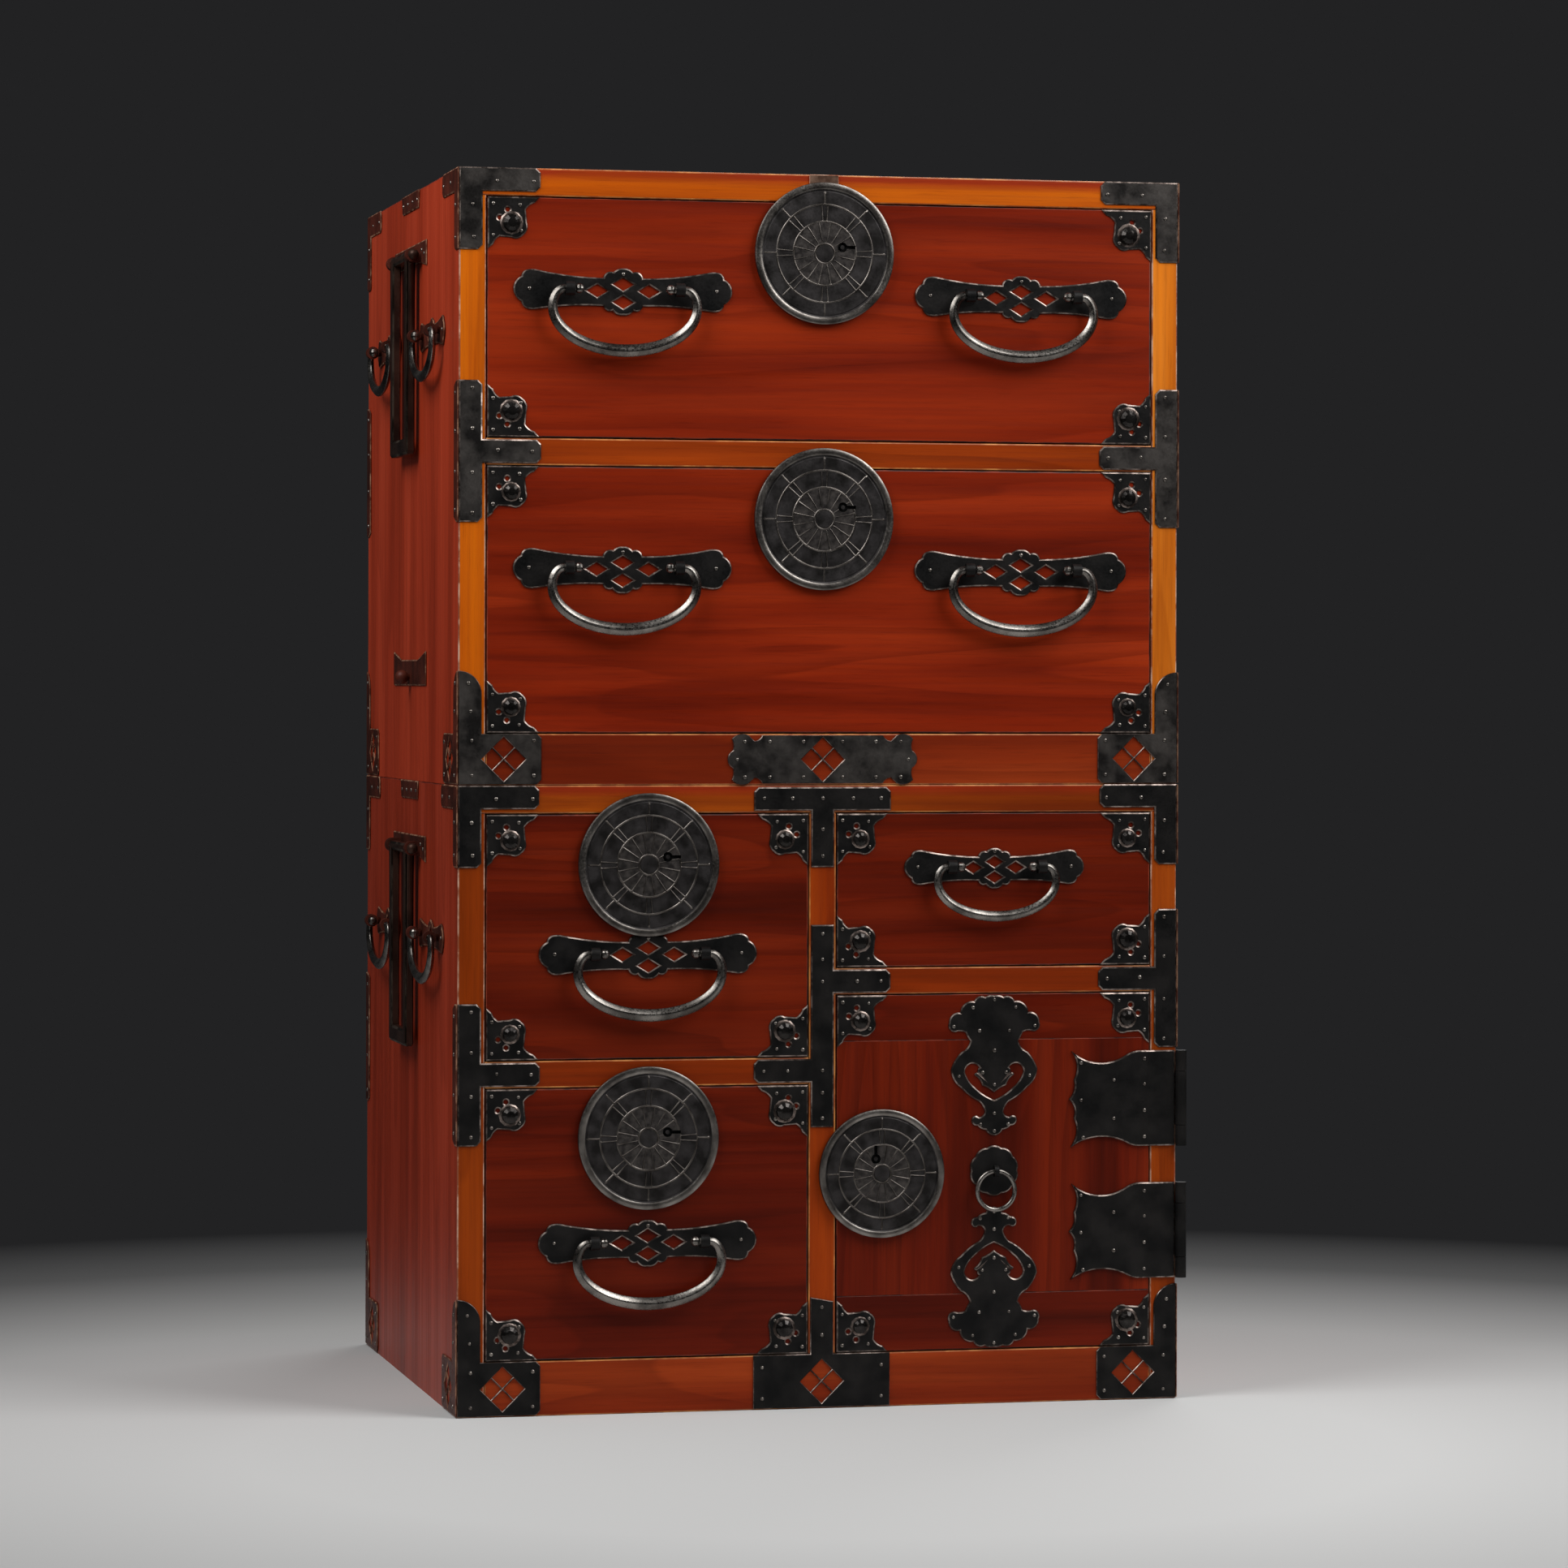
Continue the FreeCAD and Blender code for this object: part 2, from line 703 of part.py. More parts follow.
locked_drawers = ("upper_top_drawer", "upper_low_drawer", "left_top_drawer", "left_low_drawer")


def handle_places(name):
    """Middle of the eye line of each handle on a drawer front."""
    x0, x1, z0, z1 = drawer_front_box(drawer_openings[name])
    size, drop_share, offsets = drawer_handles[name]
    return [((x0 + x1) / 2 + share * (x1 - x0), z1 - drop_share * (z1 - z0)) for share in offsets]


def make_drawer(name):
    """Front board, box behind it, irons, and the bails and bolt that move on it."""
    opening = drawer_openings[name]
    x0, x1, z0, z1 = drawer_front_box(opening)
    middle = (x0 + x1) / 2
    behind = front + front_thick
    board = box(x0, x1, front, behind, z0, z1)
    size = drawer_handles[name][0]
    places = handle_places(name)
    irons, holes = handle_irons(size, front_thick, shank_clinch)
    solids = corner_irons(x0, x1, z0, z1)
    for i, (x, z) in enumerate(places):
        board = board.cut([placed(hole, x, front, z) for hole in holes])
        solids.extend(placed(iron, x, front, z) for iron in irons)
        label = name + "_bail" if len(places) == 1 else name + ("_left_bail", "_right_bail")[i]
        save(label, [placed(bail(size), x, front, z)])
    if name in locked_drawers:
        plate = lock_plate(lock_radius, lock_drop - lock_foot_margin)
        solids.append(placed(plate, middle, front, z1 - lock_drop))
        solids.append(placed(lock_case(front_thick), middle, front, z1 - lock_case_room))
        save(name + "_lock_bolt", [placed(lock_bolt(front_thick), middle, front, z1 - lock_case_room)])
    save(name + "_front", [board])
    save(name + "_irons", solids)

    left = opening[0] + drawer_side_gap
    right = opening[1] - drawer_side_gap
    low = opening[2] + drawer_run_gap
    high = opening[3] - drawer_top_room
    rear = back_face - drawer_back_room
    walls = [box(left, left + drawer_wall, behind, rear, low, high),
             box(right - drawer_wall, right, behind, rear, low, high),
             box(left + drawer_wall, right - drawer_wall, rear - drawer_wall, rear, low, high)]
    floor = box(left + drawer_wall, right - drawer_wall, behind, rear - drawer_wall, low, low + drawer_floor)
    save(name + "_box", walls + [floor])


def drawer_mortise(name):
    """Pocket in the board over a drawer for its lock bolt."""
    x0, x1, z0, z1 = drawer_front_box(drawer_openings[name])
    return placed(bolt_mortise(front_thick, bolt_throw + mortise_gap), (x0 + x1) / 2, front, z1 + reveal)


# Door

door_left = half_post + door_reveal
door_right = inner_w - reveal
door_low = lower_floor + reveal
door_high = right_rail_bottom - reveal
door_tall = door_high - door_low
door_middle = (door_left + door_right) / 2
door_lock_z = door_low + door_tall / 2
hinge_x = half_w + knuckle_offset_share * knuckle_radius
hinge_y = front - knuckle_offset_share * knuckle_radius
hinge_levels = [door_low + share * door_tall for share in (hinge_upper_share, hinge_lower_share)]

# Right half of the door ornament, from the middle of its crown down to its foot
ornament_shares = [
    (0.0, -0.01, 0.2), (0.2, -0.02, 0.45), (0.44, -0.05, 0.45), (0.74, -0.13, 0.5), (0.98, -0.2, 0.6),
    (0.85, -0.265, -0.2), (0.62, -0.27, 0.1), (0.52, -0.33, -0.25), (0.72, -0.41, 0.12),
    (0.94, -0.53, 0.25), (0.72, -0.66, 0.1), (0.32, -0.76, -0.15), (0.2, -0.83, -0.4), (0.34, -0.87, 0.5),
    (0.48, -0.875, 0.6), (0.36, -0.93, 0.2), (0.18, -0.96, 0.3), (0.0, -1.0),
]
# Right half of the pierced scroll in its belly, from its inner middle point to its outer one
ornament_scroll_shares = [
    (0.0, -0.695, 0.1), (0.26, -0.645, 0.2), (0.43, -0.57, -0.6), (0.34, -0.56, -0.5), (0.32, -0.52, 0.3),
    (0.5, -0.49, 0.35), (0.64, -0.55, 0.15), (0.42, -0.66, 0.1), (0.0, -0.75),
]
# Hinge leaf from its scalloped end to the door's edge, height in shares of the whole
hinge_leaf_shares = [
    (0.03, 0.5, 0.34), (0.71, 0.455, -0.15), (0.88, 0.5), (1.0, 0.5), (1.0, -0.5), (0.88, -0.5, -0.15),
    (0.71, -0.46, 0.27), (0.02, -0.5, 0.3), (0.06, -0.2, 0.3), (0.0, 0.0, 0.3), (0.06, 0.2, 0.3),
]


def ornament(sign):
    """Crest plate with a pierced scroll. It points down from the top edge, or up where the sign is -1."""
    points = mirrored(ornament_shares)
    plate = sheet(spread(points, 0, 0, ornament_half, sign * ornament_height), iron_thick)
    scroll = spread(mirrored(ornament_scroll_shares), 0, 0, ornament_half, sign * ornament_height)
    return pierce(plate, [scroll], iron_thick)


def door_hinge(level):
    """Door leaf with its strap over the upright and the middle knuckle, bored for the pin."""
    half = hinge_height / 2
    half_knuckle = knuckle_share * half
    reach = hinge_x - knuckle_radius - hinge_lift
    points = spread(hinge_leaf_shares, door_right - hinge_leaf, level, hinge_leaf, hinge_height)
    leaf = placed(sheet(points, hinge_sheet), 0, front, 0)
    y0 = front - hinge_sheet
    y1 = front - hinge_lift
    strap = box(door_right, reach, y0, y1, level - half, level + half)
    neck = box(reach, hinge_x, y0, y1, level - half_knuckle, level + half_knuckle)
    up = vec(0, 0, 1)
    knuckle = rod(vec(hinge_x, hinge_y, level - half_knuckle), up, knuckle_radius, 2 * half_knuckle)
    bore = rod(vec(hinge_x, hinge_y, level - half), up, hinge_pin_radius + pin_gap, hinge_height)
    return join([leaf, strap, neck, knuckle]).cut(bore)


def case_hinge(level):
    """Leaf on the side of the case with the end knuckles and the pin."""
    half = hinge_height / 2
    half_knuckle = knuckle_share * half + knuckle_gap
    ends = []
    for low, high in ((-half, -half_knuckle), (half_knuckle, half)):
        ends.append(rod(vec(hinge_x, hinge_y, level + low), vec(0, 0, 1), knuckle_radius, high - low))
        ends.append(box(half_w, half_w + hinge_sheet, hinge_y, front, level + low, level + high))
    pin = rod(vec(hinge_x, hinge_y, level - half), vec(0, 0, 1), hinge_pin_radius, hinge_height)
    leaf = box(half_w, half_w + hinge_sheet, front, front + hinge_case_leaf, level - half, level + half)
    room = rod(vec(hinge_x, hinge_y, level - half_knuckle), vec(0, 0, 1), knuckle_radius + knuckle_gap,
               2 * half_knuckle)
    whole = join([leaf.cut(room)] + ends + [pin])
    case_edge = box(inner_w, half_w, front, front + cut_over, level - hinge_height, level + hinge_height)
    return whole.cut(case_edge)


def rosette():
    """Scalloped rose behind the ring pull with an eye for the ring."""
    step = 2 * math.pi / rosette_petals
    points = [(rosette_radius * math.cos(i * step), rosette_radius * math.sin(i * step), petal_bow)
              for i in range(rosette_petals)]
    rose = sheet(points, handle_plate_thick)
    eye = rod(vec(-ring_eye_length / 2, -ring_axis_out, 0), vec(1, 0, 0), ring_eye_radius, ring_eye_length)
    stem_length = ring_axis_out - handle_plate_thick
    stem = rod(vec(0, -handle_plate_thick, 0), vec(0, -1, 0), ring_stem_radius, stem_length)
    hole_start = vec(-ring_eye_length, -ring_axis_out, 0)
    hole = rod(hole_start, vec(1, 0, 0), ring_wire + ring_gap, 2 * ring_eye_length)
    return [rose, join([eye, stem]).cut(hole)]


def ring_pull():
    return Part.makeTorus(ring_radius, ring_wire, vec(0, -ring_axis_out, -ring_radius), vec(0, 1, 0))


def make_door():
    behind = front + front_thick
    panel_low = door_low + door_bottom_clamp
    panel_high = door_high - door_top_clamp
    save("door_panel", [box(door_left, door_right, front, behind, panel_low, panel_high)])
    save("door_clamps", [box(door_left, door_right, front, behind, door_low, panel_low),
                         box(door_left, door_right, front, behind, panel_high, door_high)])
    ring_z = door_low + ring_share * door_tall
    lock_x = door_left + door_lock_inset
    irons = corner_irons(door_left, door_right, door_low, door_high)
    irons.append(placed(ornament(1), door_middle, front, door_high))
    irons.append(placed(ornament(-1), door_middle, front, door_low))
    irons.extend(door_hinge(level) for level in hinge_levels)
    irons.extend(placed(iron, door_middle, front, ring_z) for iron in rosette())
    plate = lock_plate(door_lock_radius, door_lock_inset - lock_foot_margin)
    irons.append(placed(plate, lock_x, front, door_lock_z))
    irons.append(door_lock_piece(lock_case(front_thick)))
    save("door_irons", irons)
    save("door_lock_bolt", [door_lock_piece(lock_bolt(front_thick))])
    save("door_ring_pull", [placed(ring_pull(), door_middle, front, ring_z)])


def door_lock_piece(shape):
    """Lock piece laid on its side, with its top towards the door's free edge."""
    copy = shape.copy()
    copy.rotate(vec(0, 0, 0), vec(0, 1, 0), -90)
    copy.translate(vec(door_left + lock_case_room, front, door_lock_z))
    return copy


def door_mortise():
    pocket = bolt_mortise(front_thick, bolt_throw + mortise_gap)
    pocket.rotate(vec(0, 0, 0), vec(0, 1, 0), -90)
    pocket.translate(vec(half_post, front, door_lock_z))
    return pocket


# Lower case
for side, sign in side_signs.items():
    board = case_side(sign, 0, split)
    save("lower_" + side + "_side", [cut_side_holes(board, side, split)])
save("lower_top_board", [case_top(split).cut(drawer_mortise("left_top_drawer"))])
save("lower_base", case_base(0, lower_skirt_height))
save("lower_back_panel", [case_back(lower_floor, lower_ceiling)])
post = box(-half_post, half_post, front, back_face, lower_floor, lower_ceiling)
save("lower_partition", [post.cut(door_mortise())])
left_rail, left_dust = divider(-inner_w, -half_post, left_rail_bottom, left_rail_top)
save("lower_dividers", [left_rail.cut(drawer_mortise("left_low_drawer")), left_dust]
     + divider(half_post, inner_w, right_rail_bottom, right_rail_top))

left_rail_middle = (left_rail_bottom + left_rail_top) / 2
right_rail_middle = (right_rail_bottom + right_rail_top) / 2
lower_joints = ((1, left_rail_middle), (-1, right_rail_middle))
lower_irons = case_front_irons(0, lower_skirt_height, split, lower_joints)
half_band = band_width / 2
leg_end = -band_width - center_leg
clipped = center_tee_half - end_clip
top_tee = sheet([(-clipped, 0), (-center_tee_half, -end_clip), (-center_tee_half, -band_width),
                 (-half_band, -band_width), (-half_band, leg_end), (half_band, leg_end), (half_band, -band_width),
                 (center_tee_half, -band_width), (center_tee_half, -end_clip), (clipped, 0)], iron_thick)
lower_irons.append(placed(top_tee, 0, front, split - (top_thick - band_width) / 2))
post_top = right_rail_middle + center_leg
post_bottom = left_rail_middle - center_leg
post_plate = [box(-half_band, half_band, front - iron_thick, front, post_bottom, post_top)]
for sign, level in ((1, right_rail_middle), (-1, left_rail_middle)):
    arm = [(0, -half_band), *arm_end(center_tee_half, half_band), (0, half_band)]
    post_plate.append(placed(sheet(signed(arm, sign, 1), iron_thick), 0, front, level))
lower_irons.append(join(post_plate))
leg_top = lower_skirt_height + center_leg
foot_tee = sheet([(-center_tee_half, foot_gap), (center_tee_half, foot_gap),
                  (center_tee_half, lower_skirt_height), (half_band, lower_skirt_height),
                  (half_band, leg_top - end_clip), (-half_band, leg_top), (-half_band, lower_skirt_height),
                  (-center_tee_half, lower_skirt_height)], iron_thick)
foot_tee = pierce(foot_tee, four_diamonds(0, lower_skirt_height / 2), iron_thick)
lower_irons.append(placed(foot_tee, 0, front, 0))
save("lower_frame_irons", lower_irons)

# Upper case
for side, sign in side_signs.items():
    board = case_side(sign, split, crown)
    save("upper_" + side + "_side", [cut_side_holes(board, side, crown)])
save("upper_top_board", [case_top(crown).cut(drawer_mortise("upper_top_drawer"))])
save("upper_base", case_base(split, upper_skirt_height))
save("upper_back_panel", [case_back(upper_floor, upper_ceiling)])
upper_rail, upper_dust = divider(-inner_w, inner_w, upper_rail_bottom, upper_rail_top)
save("upper_divider", [upper_rail.cut(drawer_mortise("upper_low_drawer")), upper_dust])
upper_rail_middle = (upper_rail_bottom + upper_rail_top) / 2
upper_joints = ((1, upper_rail_middle), (-1, upper_rail_middle))
upper_irons = case_front_irons(split, upper_skirt_height, crown, upper_joints)
long_points = spread(mirrored(long_plate_shares), 0, 0, long_plate_half, upper_skirt_height)
long_plate = pierce(sheet(long_points, iron_thick), four_diamonds(0, 0), iron_thick)
upper_irons.append(placed(long_plate, 0, front, split + upper_skirt_height / 2))
save("upper_frame_irons", upper_irons)

# Side irons, side handles and carrying loops of both cases
lower_middles = {"left": left_rail_middle, "right": right_rail_middle}
upper_middles = {"left": upper_rail_middle, "right": upper_rail_middle}
for case, floor, skirt, high, middles in (
        ("lower", 0, lower_skirt_height, split, lower_middles),
        ("upper", split, upper_skirt_height, crown, upper_middles)):
    irons = case_side_irons(floor, skirt, high, middles)
    for side, turn in side_turns.items():
        x = side_signs[side] * half_w
        loop_z = high - loop_pivot_drop
        irons.extend(placed(iron, x, mid_depth, loop_z, turn) for iron in loop_mount())
        save(case + "_" + side + "_loop", [placed(carrying_loop(), x, mid_depth, loop_z, turn)])
        if case == "upper":
            raised_end = split - loop_pivot_drop + loop_length - loop_end_bar
            catch_z = raised_end - catch_room - catch_knob_radius
            irons.extend(placed(iron, x, mid_depth, catch_z, turn) for iron in catch_plate())
        pieces, holes = handle_irons(side_handle, side_shank, 0)
        for end, (y, z) in zip(("front", "back"), side_handle_places(high)):
            irons.extend(placed(piece, x, y, z, turn) for piece in pieces)
            save(case + "_" + side + "_" + end + "_bail", [placed(bail(side_handle), x, y, z, turn)])
    if case == "lower":
        irons.extend(case_hinge(level) for level in hinge_levels)
    save(case + "_side_irons", irons)

for drawer in drawer_openings:
    make_drawer(drawer)
make_door()

os.makedirs("parts", exist_ok=True)
for name, shape in nodes.items():
    shape.exportStep("parts/" + name + ".step")
print(len(nodes), "nodes,", sum(len(shape.Solids) for shape in nodes.values()), "solids")
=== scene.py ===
import json
import math
import bmesh
import bpy
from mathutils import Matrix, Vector

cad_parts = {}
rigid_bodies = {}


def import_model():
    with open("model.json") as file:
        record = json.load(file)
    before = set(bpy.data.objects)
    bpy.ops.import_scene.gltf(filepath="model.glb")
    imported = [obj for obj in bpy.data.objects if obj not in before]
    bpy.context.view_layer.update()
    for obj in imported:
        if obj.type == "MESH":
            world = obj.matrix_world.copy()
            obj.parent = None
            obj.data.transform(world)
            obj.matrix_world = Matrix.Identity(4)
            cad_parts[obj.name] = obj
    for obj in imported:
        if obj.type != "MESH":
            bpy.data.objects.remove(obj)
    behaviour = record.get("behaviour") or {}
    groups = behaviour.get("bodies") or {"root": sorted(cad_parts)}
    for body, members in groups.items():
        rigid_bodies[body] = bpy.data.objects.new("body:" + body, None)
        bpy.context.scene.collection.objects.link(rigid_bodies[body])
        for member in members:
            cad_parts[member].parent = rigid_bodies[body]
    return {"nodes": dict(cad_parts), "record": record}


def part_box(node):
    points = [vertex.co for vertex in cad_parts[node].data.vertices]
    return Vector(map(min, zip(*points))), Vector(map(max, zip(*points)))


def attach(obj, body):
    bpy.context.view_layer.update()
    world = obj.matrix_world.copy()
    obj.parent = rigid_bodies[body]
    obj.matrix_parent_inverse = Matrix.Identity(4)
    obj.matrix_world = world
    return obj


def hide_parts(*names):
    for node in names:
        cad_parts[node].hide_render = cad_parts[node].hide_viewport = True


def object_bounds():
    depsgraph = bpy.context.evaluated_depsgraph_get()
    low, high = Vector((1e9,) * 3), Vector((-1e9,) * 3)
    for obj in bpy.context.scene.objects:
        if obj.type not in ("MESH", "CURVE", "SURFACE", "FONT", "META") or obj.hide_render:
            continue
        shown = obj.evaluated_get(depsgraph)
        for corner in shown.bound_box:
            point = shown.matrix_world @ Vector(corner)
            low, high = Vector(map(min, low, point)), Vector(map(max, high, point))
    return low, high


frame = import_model()
cad_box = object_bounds()

# Case sides
# Two planks to each case, lacquered red outside and left bare inside, with fingers up through the top.
# Their front edges are only wiped with amber lacquer, and handling has rubbed the corners pale.
mm = 0.001
record = frame["record"]
body_of = {node: body for body, members in record["behaviour"]["bodies"].items() for node in members}
slot_of = {row["node"]: row["material_slot"] for row in record["subparts"]}
weld_gap = 0.001 * mm
flat_angle, crease_angle, sharp_angle = math.radians(0.5), math.radians(18), math.radians(40)
patch_corners = 4
board_ease, corner_reach = 1.3 * mm, 0.1 * mm
along_x, along_y, along_z = 0, 1, 2
outlooks = {
    "front": Vector((0, -1, 0)), "back": Vector((0, 1, 0)), "left": Vector((-1, 0, 0)),
    "right": Vector((1, 0, 0)), "top": Vector((0, 0, 1)), "under": Vector((0, 0, -1)),
}


def linear(hex_colour):
    """Linear RGBA from an sRGB hex colour."""
    channels = [int(hex_colour[i:i + 2], 16) / 255 for i in (1, 3, 5)]
    return (*[c / 12.92 if c <= 0.04045 else ((c + 0.055) / 1.055) ** 2.4 for c in channels], 1)


def grey(share):
    """Linear grey that stands for a share from zero to one."""
    return (share, share, share, 1)


def add_node(tree, kind, inputs=None, stops=(), **settings):
    """Add a node with its settings and colour stops. An input takes a value, a socket or a whole node."""
    made = tree.nodes.new(kind)
    for name, value in settings.items():
        setattr(made, name, value)
    for name, value in (inputs or {}).items():
        socket = next(s for s in made.inputs if s.enabled and s.name == name)
        if isinstance(value, bpy.types.Node):
            value = next(s for s in value.outputs if s.enabled)
        if isinstance(value, bpy.types.NodeSocket):
            tree.links.new(value, socket)
        else:
            socket.default_value = value
    for i, (place, colour) in enumerate(stops):
        elements = made.color_ramp.elements
        stop = elements[i] if i < len(elements) else elements.new(place)
        stop.position = place
        stop.color = colour
    return made


def new_material(name):
    """Empty node material, its tree and its Object coordinates."""
    material = bpy.data.materials.new(name)
    material.use_nodes = True
    tree = material.node_tree
    tree.nodes.clear()
    return material, tree, add_node(tree, "ShaderNodeTexCoord").outputs["Object"]


def grained_wood(name, tones, grain, seed, finish, coat=(), level=0):
    """Coarse-grained wood in a pale, a middle and a dark tone: slow bands, growth rings, fine streaks and
    open pores along the grain, with clouds over them. A second coat can cover it above a level."""
    # Length, width, detail and bend of each figure. Real pores are a third as wide, too fine for the render
    figures = {
        "bands": (700 * mm, 46 * mm, 4, 0.4), "growth": (900 * mm, 80 * mm, 1.5, 0.3),
        "streaks": (240 * mm, 4 * mm, 3, 0), "pores": (30 * mm, 1.1 * mm, 1, 0),
        "clouds": (420 * mm, 170 * mm, 2, 0),
    }
    # How much of each tint shows, and its colours along the figure
    tints = {
        "streaks": (0.5, (0.3, "#dad1ce"), (0.6, "#ffffff")),
        "pores": (0.25, (0.58, "#ffffff"), (0.72, "#b3aaaa")),
        "clouds": (0.6, (0.32, "#cebfbc"), (0.64, "#ffffff")),
    }
    band_stops = (0.28, 0.46, 0.7)
    ring_count, late_wood_share = 9, 0.38
    pore_depth, coat_blur = 0.3 * mm, 3.5 * mm
    rough_spread = 0.06
    gloss, rough = finish
    material, tree, place = new_material(name)
    noise = {}
    for figure, (length, width, detail, bend) in figures.items():
        scale = [1 / width] * 3
        scale[grain] = 1 / length
        spot = add_node(tree, "ShaderNodeMapping",
                        {"Vector": place, "Location": (seed, seed, seed), "Scale": scale})
        noise[figure] = add_node(tree, "ShaderNodeTexNoise",
                                 {"Vector": spot, "Scale": 1, "Detail": detail, "Distortion": bend})
    coats = []
    for layer in filter(None, (tones, coat)):
        stops = [(at, linear(tone)) for at, tone in zip(band_stops, reversed(layer))]
        coats.append(add_node(tree, "ShaderNodeValToRGB", {"Fac": noise["bands"]}, stops))
    colour = coats[0]
    if coat:
        up = add_node(tree, "ShaderNodeSeparateXYZ", {"Vector": place}).outputs["Z"]
        above = add_node(tree, "ShaderNodeMapRange",
                         {"Value": up, "From Min": level - coat_blur, "From Max": level + coat_blur})
        colour = add_node(tree, "ShaderNodeMix", {"Factor": above, "A": colour, "B": coats[1]},
                          data_type="RGBA")
    years = add_node(tree, "ShaderNodeMath", {"Value": noise["growth"]}, operation="MULTIPLY")
    years.inputs[1].default_value = ring_count
    rings = add_node(tree, "ShaderNodeMath", {"Value": years}, operation="FRACT")
    late_wood = add_node(tree, "ShaderNodeValToRGB", {"Fac": rings},
                         ((0.45, grey(0)), (0.95, grey(late_wood_share)), (1, grey(0))))
    colour = add_node(tree, "ShaderNodeMix", {"Factor": late_wood, "A": colour, "B": linear(tones[-1])},
                      data_type="RGBA")
    for figure, (share, *tint) in tints.items():
        tone = add_node(tree, "ShaderNodeValToRGB", {"Fac": noise[figure]},
                        [(at, linear(shade)) for at, shade in tint])
        colour = add_node(tree, "ShaderNodeMix", {"Factor": share, "A": colour, "B": tone},
                          data_type="RGBA", blend_type="MULTIPLY")
    roughness = add_node(tree, "ShaderNodeMapRange",
                         {"Value": noise["streaks"], "From Min": 0.3, "From Max": 0.7,
                          "To Min": rough + rough_spread, "To Max": rough - rough_spread})
    bump = add_node(tree, "ShaderNodeBump",
                    {"Height": noise["pores"], "Strength": 0.12, "Distance": pore_depth}, invert=True)
    shader = add_node(tree, "ShaderNodeBsdfPrincipled",
                      {"Base Color": colour, "Roughness": roughness, "Normal": bump, "IOR": 1.5,
                       "Specular IOR Level": gloss})
    add_node(tree, "ShaderNodeOutputMaterial", {"Surface": shader})
    return material


def rubbed(name, bare, covered, seed, patch_size, rough=0.45, metal=0.0):
    """Corner rubbed through in patches: the bare stuff shows bright between what still covers it."""
    material, tree, place = new_material(name)
    spot = add_node(tree, "ShaderNodeMapping",
                    {"Vector": place, "Location": (seed, seed, seed), "Scale": (1 / patch_size,) * 3})
    patches = add_node(tree, "ShaderNodeTexNoise",
                       {"Vector": spot, "Scale": 1, "Detail": 5, "Roughness": 0.65})
    colour = add_node(tree, "ShaderNodeValToRGB", {"Fac": patches},
                      ((0.44, linear(covered)), (0.62, linear(bare))))
    shader = add_node(tree, "ShaderNodeBsdfPrincipled",
                      {"Base Color": colour, "Roughness": rough, "Metallic": metal})
    add_node(tree, "ShaderNodeOutputMaterial", {"Surface": shader})
    return material


def merged_copy(node, join_flats=False):
    """Welded copy of a CAD node's mesh. The triangles of its flat faces can be joined."""
    shape = bmesh.new()
    shape.from_mesh(frame["nodes"][node].data)
    bmesh.ops.remove_doubles(shape, verts=shape.verts, dist=weld_gap)
    if join_flats:
        bmesh.ops.dissolve_limit(shape, angle_limit=flat_angle, verts=shape.verts, edges=shape.edges)
    shape.normal_update()
    return shape


def mesh_of(shape, name, *materials):
    """Mesh of a shape, which is used up, with its materials."""
    mesh = bpy.data.meshes.new(name)
    shape.to_mesh(mesh)
    shape.free()
    for material in materials:
        mesh.materials.append(material)
    return mesh


def in_scene(name, data):
    """New object, linked to the scene."""
    made = bpy.data.objects.new(name, data)
    bpy.context.scene.collection.objects.link(made)
    return made


def worked(blank):
    """Plain mesh of an object after its modifiers. The object itself is removed."""
    made = bpy.data.meshes.new_from_object(blank.evaluated_get(bpy.context.evaluated_depsgraph_get()))
    bpy.data.objects.remove(blank)
    return made


def finished(name, mesh, body, slot, *nodes):
    """Piece at the origin that rides on a body and stands for CAD nodes."""
    piece = in_scene(name, mesh)
    mesh.set_sharp_from_angle(angle=crease_angle)
    # Faces with more corners than a patch are flat boards or sheets
    mesh.polygons.foreach_set("use_smooth", [len(face.vertices) <= patch_corners for face in mesh.polygons])
    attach(piece, body)
    if nodes:
        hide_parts(*nodes)


def outer_corner(edge, low, high):
    """Whether an edge runs along a corner of its board that no other board meets."""
    def on(axis, limit):
        return all(abs(vert.co[axis] - limit[axis]) < corner_reach for vert in edge.verts)

    ends = [limit for limit in (low, high) if on(along_x, limit)]
    outside = any(abs(end.x) > abs(low.x + high.x) / 2 for end in ends)
    front_or_back = on(along_y, low) or on(along_y, high)
    rim = bool(ends) or on(along_z, low) or on(along_z, high)
    return front_or_back and rim or outside and on(along_z, high)


